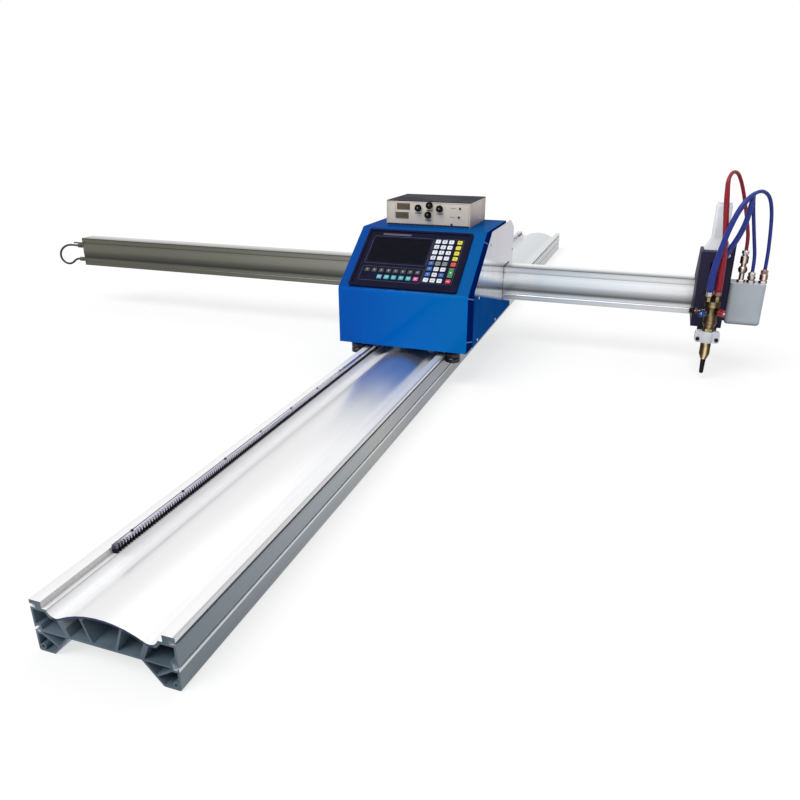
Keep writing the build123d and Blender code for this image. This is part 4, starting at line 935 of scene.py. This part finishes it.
def row_keys(key, signs):
    """Soft keys and mode keys in two rows under the screen."""
    for i in range(SOFT_KEYS):
        x = SOFT_START + ROW_PITCH * i
        key(x, SOFT_RISE, "dark")
        signs.sign(str(i + 1), x, SOFT_RISE, SOFT_SIZE, INK_PALE)
    for i in range(MODE_KEYS):
        x = MODE_START + ROW_PITCH * i
        key(x, MODE_RISE, "magenta" if i == MODE_KEYS - 1 else "teal")
        for lift, stroke in MODE_DASHES:
            signs.bar(x, MODE_RISE + lift, *stroke, 0, *SIGN_DEPTH, INK_PALE)


def add_keypad():
    """Keys of the control panel, with plain numerals and strokes."""
    inks = key_materials()
    names = list(inks)
    caps = Relief()
    signs = Relief()

    def key(x, rise, colour, height=KEY_SIZE):
        caps.plate(x, rise, KEY_SIZE, height, KEY_LOW, KEY_TOP, KEY_CORNER, KEY_EDGE, names.index(colour))

    pad_keys(key, signs)
    row_keys(key, signs)
    made = caps.build("keypad_caps", SLOPE_FACE, "carriage", "key_white", *inks.values())
    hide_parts("keypad_keys")
    ink = plastic("ink_dark", rgb(30, 32, 40), 0.5)
    pale = plastic("ink_pale", rgb(206, 214, 222), 0.5)
    signs.build("keypad_signs", SLOPE_FACE, "carriage", "key_white", ink, pale)


def add_panel_lines():
    """Lines round the panel's screen, soft keys and keypad, and a strip."""
    depth = (PANEL_FACE + PRINT_LOW, PANEL_FACE + PRINT_HIGH)
    lines = Relief()
    for border in PANEL_FRAMES:
        lines.outline(*border, PANEL_LINE, *depth)
    line = plastic("panel_line", rgb(62, 58, 84), 0.5)
    lines.build("panel_lines", SLOPE_FACE, "carriage", "case_black", line)
    strip = Relief()
    strip.plate(*PANEL_STRIP, *depth, 1.5, 0.1)
    pale = plastic("strip_grey", rgb(58, 56, 78), 0.5)
    strip.build("panel_strip", SLOPE_FACE, "carriage", "case_black", pale)


def add_thc_digits():
    """Numerals on the height controller's displays."""
    digits = Relief()
    for x, z in THC_DISPLAYS:
        for i in range(DIGITS):
            middle = x + DIGIT_START + DIGIT_PITCH * i
            for across, up, turn in SEGMENTS:
                digits.bar(middle + across, z + up, *DIGIT_STROKE, turn, *DIGIT_DEPTH)
    dark = plastic("digit_dark", rgb(58, 46, 40), 0.3)
    digits.build("thc_digits", THC_FACE, "carriage", "display_red", dark)


def add_thc_marks():
    """Scales, labels and lines on the height controller's front, and a painted shadow along its foot."""
    marks = Relief()
    for x, z in THC_KNOBS:
        for turn in SCALE_TURNS:
            angle = radians(90 - turn)
            place = (x + SCALE_RADIUS * cos(angle), z + SCALE_RADIUS * sin(angle))
            marks.bar(*place, *SCALE_TICK, 90 - turn)
        marks.bar(x, z - KNOB_LABEL_DROP, *KNOB_LABEL, 0)
    for x, z in THC_LAMPS[:LABELLED_LAMPS]:
        marks.bar(x - LAMP_LABEL_SHIFT, z, *LAMP_LABEL, 0)
    marks.outline(THC_X, *THC_FRAME)
    marks.bar(*THC_DIVIDER)
    mark = plastic("mark_grey", rgb(74, 70, 72), 0.5)
    marks.build("thc_marks", THC_FACE, "carriage", "thc_front", mark)
    # Dark line along the foot: painted shadow
    foot = Relief()
    foot.plate(THC_X, THC_BOTTOM + FOOT_SHADOW_RISE, *FOOT_SHADOW_LINE)
    dark = plastic("foot_shadow_dark", rgb(12, 14, 34), 0.5)
    foot.build("thc_foot_shadow_line", THC_FACE, "carriage", "thc_front", dark)


def add_thc_lamps():
    """Lamps in rims, and a white pointer dot on each knob that also stands as a painted highlight."""
    lamps = Relief()
    for x, z in THC_LAMPS:
        lamps.disc(x, z, *LAMP_RIM)
        lamps.disc(x, z, *LAMP_LENS, 1)
    rim = steel("lamp_rim", rgb(150, 150, 154), 0.3)
    lens = plastic("lamp_lens", rgb(34, 24, 24), 0.2)
    lamps.build("thc_lamps", THC_FACE, "carriage", "thc_front", rim, lens)
    # Pointer dots, also painted highlights on the knobs
    white = plastic("pointer_highlight_white", rgb(228, 222, 220), 0.4)
    for number, (x, z) in enumerate(THC_KNOBS, 1):
        pointer = Relief()
        pointer.disc(x + POINTER_SHIFT[0], z + POINTER_SHIFT[1], *POINTER_HIGHLIGHT)
        pointer.build(f"knob_pointer_highlight_{number}", THC_FACE, f"thc_knob_{number}", "knob_black", white)


def nut_mesh(name, place, radius, height, sides=6, direction=(0, 0, 1)):
    """Hex nut or round collar with slanted rims, along an axis."""
    mesh = bmesh.new()
    turn = Vector(direction).to_track_quat("Z", "Y").to_matrix()
    turns = [2 * pi * i / sides for i in range(sides)]
    rings = []
    for share, z in NUT_PROFILE:
        arms = [Vector((cos(t), sin(t), 0)) * radius * share * MM for t in turns]
        rise = Vector((0, 0, z * height * MM))
        rings.append([mesh.verts.new(at(*place) + turn @ (arm + rise)) for arm in arms])
    skin(mesh, rings)
    return finished(mesh, name)


def add_nuts():
    """Plated nuts at both ends of each hose."""
    plated = steel("plated_nut", rgb(196, 190, 186), 0.24)
    warm = steel("warm_nut", rgb(150, 112, 106), 0.3)
    ends = [("torch_nut", "torch", 0, TORCH_NUT, "red"), ("outlet_nut", "beam", -1, OUTLET_NUT, "outer")]
    for name, route in (("red", RED_ROUTE), ("outer", OUTER_ROUTE), ("inner", INNER_ROUTE)):
        for nut, body, end, size, warm_one in ends:
            x, y, z = route[end]
            mesh = nut_mesh(nut, (x, y, z - NUT_DROP), *size)
            piece(f"{nut}_{name}", mesh, body, "brass", warm if name == warm_one else plated)


def add_torch_details():
    """Torch collars, packing nuts of the valves, and pale screws on their knobs that also stand as painted
    highlights.
    """
    turned = brass("collar_brass", TORCH_TONES, dull=0.35)
    copper = brass("valve_copper", (rgb(34, 20, 18), rgb(58, 36, 32), rgb(74, 48, 42)))
    screw = steel("knob_screw_highlight", rgb(196, 208, 222), 0.2)
    for i, (z, radius, height, sides) in enumerate(TORCH_COLLARS):
        mesh = nut_mesh("collar", (*TORCH_AXIS, z), radius, height, sides)
        piece(f"torch_collar_{i + 1}", mesh, "torch", "brass", turned)
    for name, (angle, z, reach) in TORCH_VALVES.items():
        out = Vector((cos(radians(angle)), sin(radians(angle)), 0))
        axis = Vector((*TORCH_AXIS, z))
        start = axis + out * (reach - PACKING_GAP)
        mesh = nut_mesh("packing_nut", start, *PACKING_NUT, direction=out)
        piece(f"packing_nut_{name}", mesh, "torch", "brass", copper)
        # Pale screw on the knob's face, also a painted highlight
        head = Relief()
        head.disc(0, 0, *KNOB_SCREW_HIGHLIGHT)
        face = face_matrix(axis + out * (reach + KNOB_FACE), Vector((0, 0, 1)).cross(out))
        head.build(f"knob_screw_highlight_{name}", face, f"valve_knob_{name}", "brass", screw)


def add_lifter_cap():
    """Round white cap on the lifter's front."""
    cap = Relief()
    for step in CAP_STEPS:
        cap.disc(0, 0, *step)
    white = plastic("cap_white", rgb(226, 228, 236), 0.4)
    cap.build("lifter_cap", face_matrix(CAP_PLACE), "beam", "motor_grey", white)


def smooth_line(points):
    """Curve object of a cord's route, one NURBS spline."""
    data = bpy.data.curves.new("route", "CURVE")
    data.dimensions = "3D"
    data.resolution_u = 10
    spline = data.splines.new("NURBS")
    spline.points.add(len(points) - 1)
    for point, place in zip(spline.points, points):
        point.co = (*at(*place), 1.0)
    spline.order_u = 3
    spline.use_endpoint_u = True
    return put("route", data)


def line_points(points):
    """Points along the smooth line of a route."""
    line = smooth_line(points)
    bpy.context.view_layer.update()
    mesh = bpy.data.meshes.new_from_object(line)
    found = [v.co.copy() for v in mesh.vertices]
    bpy.data.objects.remove(line)
    bpy.data.meshes.remove(mesh)
    return found


def tube_mesh(name, path, radii):
    """Closed round tube along a path, with little twist."""
    mesh = bmesh.new()
    directions = [(b - a).normalized() for a, b in zip(path, path[1:])]
    directions.append(directions[-1])
    across = directions[0].orthogonal().normalized()
    turns = [2 * pi * i / TUBE_SIDES for i in range(TUBE_SIDES)]
    rings = []
    for here, ahead, radius in zip(path, directions, radii):
        across = (across - across.project(ahead)).normalized()
        up = ahead.cross(across)
        arms = [radius * (across * cos(t) + up * sin(t)) for t in turns]
        rings.append([mesh.verts.new(here + arm) for arm in arms])
    for face in skin(mesh, rings):
        face.smooth = len(face.verts) == 4
    return finished(mesh, name)


def sleeve_radius(share):
    """Sleeve's radius at a share of the hose's length."""
    steps = zip(SLEEVE_STEPS, SLEEVE_STEPS[1:])
    low, first, high, last = next((*start, *end) for start, end in steps if share <= end[0])
    part = (share - low) / (high - low)
    part = part * part * (3 - 2 * part)
    return (first + (last - first) * part) * MM


def bent_tube(name, path, radii, material):
    """Closed tube mesh along a path, with its place baked into its points."""
    mesh = tube_mesh(name, path, radii)
    mesh.materials.append(material)
    made = put(name, mesh)
    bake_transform(made)
    return made


def hose(node, route, material):
    """Gas hose from the torch to its outlet, with a thick sleeve."""
    path = line_points(route)
    steps = [0.0]
    for before, after in zip(path, path[1:]):
        steps.append(steps[-1] + (after - before).length)
    shares = [step / steps[-1] for step in steps]
    radii = [sleeve_radius(share) for share in shares if share <= SLEEVE_STEPS[-1][0]]
    sleeve = bent_tube(node + "_sleeve", path[:len(radii)], radii, material)
    made = bent_tube(node + "_skin", path, [HOSE_DIAMETER / 2 * MM] * len(path), material)
    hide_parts(node)


def cable_loop(material):
    """Black cable between the glands at the beam's end."""
    made = smooth_line(CABLE_ROUTE)
    made.name = "cable_loop_skin"
    made.data.bevel_depth = CABLE_DIAMETER / 2 * MM
    made.data.bevel_resolution = 4
    made.data.use_fill_caps = True
    made.data.materials.append(material)
    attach(made, "beam")
    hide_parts("cable_loop")


def add_cords():
    """Three gas hoses and the cable loop."""
    blue = rubber("hose_blue_skin", rgb(28, 46, 132))
    hose("hose_red", RED_ROUTE, rubber("hose_red_skin", rgb(142, 20, 40)))
    hose("hose_blue_outer", OUTER_ROUTE, blue)
    hose("hose_blue_inner", INNER_ROUTE, blue)
    cable_loop(rubber("cable_skin", rgb(36, 36, 38)))


def add_suns():
    """Broad soft lights."""
    for name, (level, direction, spread) in SUNS.items():
        data = bpy.data.lights.new(name, "SUN")
        data.energy = level * pi
        data.angle = radians(spread)
        made = put(name, data)
        made.rotation_mode = "QUATERNION"
        made.rotation_quaternion = Vector(direction).to_track_quat("Z", "Y")


def seen_rays(tree):
    """1 for rays that are seen straight, mirrored or through glass."""
    path = add_node(tree, "LightPath").outputs
    larger = {"operation": "MAXIMUM"}
    first = add_node(tree, "Math", larger, i0=path["Is Camera Ray"], i1=path["Is Glossy Ray"])
    both = add_node(tree, "Math", larger, i0=first.outputs[0], i1=path["Is Transmission Ray"])
    return both.outputs[0]


def light_world():
    """White surroundings at a plain level."""
    world = bpy.data.worlds.new("studio")
    bpy.context.scene.world = world
    world.use_nodes = True
    tree = world.node_tree
    background = tree.nodes["Background"]
    background.inputs["Color"].default_value = (1.0, 1.0, 1.0, 1.0)
    level = add_node(tree, "MapRange", i0=seen_rays(tree), i3=WORLD_LEVEL, i4=1.0)
    tree.links.new(level.outputs["Result"], background.inputs["Strength"])


def floor_material():
    """Pale floor that keeps the object's shadow and looks white."""
    material = bpy.data.materials.new("floor_white")
    material.use_nodes = True
    tree = material.node_tree
    tree.nodes.remove(tree.nodes["Principled BSDF"])
    rays = seen_rays(tree)
    shade = add_node(tree, "MapRange", i0=rays, i3=FLOOR_BOUNCE, i4=FLOOR_SHADE)
    diffuse = add_node(tree, "BsdfDiffuse", Color=shade.outputs["Result"])
    level = add_node(tree, "Math", {"operation": "MULTIPLY"}, i0=rays, i1=FLOOR_GLOW)
    glow = add_node(tree, "Emission", Strength=level.outputs[0])
    total = add_node(tree, "AddShader", i0=diffuse.outputs[0], i1=glow.outputs[0])
    tree.links.new(total.outputs[0], tree.nodes["Material Output"].inputs["Surface"])
    return material


def add_floor():
    """Large pale floor under the rail's feet."""
    mesh = bpy.data.meshes.new("floor")
    corners = [(-1, -1), (1, -1), (1, 1), (-1, 1)]
    mesh.from_pydata([(x * FLOOR_REACH, y * FLOOR_REACH, 0) for x, y in corners], [], [(0, 1, 2, 3)])
    mesh.materials.append(floor_material())
    floor = put("floor", mesh)


def add_camera():
    """Camera at the photograph's place and angle."""
    data = bpy.data.cameras.new("camera")
    data.sensor_width = CAMERA_SENSOR
    data.lens = CAMERA_LENS
    data.clip_end = CAMERA_REACH
    camera = put("camera", data)
    azimuth = radians(CAMERA_AZIMUTH)
    elevation = radians(CAMERA_ELEVATION)
    flat = cos(elevation)
    back = Vector((sin(azimuth) * flat, -cos(azimuth) * flat, sin(elevation)))
    camera.location = at(*CAMERA_PLACE)
    camera.rotation_mode = "QUATERNION"
    camera.rotation_quaternion = (-back).to_track_quat("-Z", "Y")
    bpy.context.scene.camera = camera


bpy.context.scene.view_settings.view_transform = "Standard"
add_camera()
light_world()
add_suns()
add_floor()
add_cords()
dress_host()
dress_thc()
dress_rail_and_beam()
dress_head()
soften()
add_keypad()
add_panel_lines()
add_thc_digits()
add_thc_marks()
add_thc_lamps()
add_nuts()
add_torch_details()
add_lifter_cap()
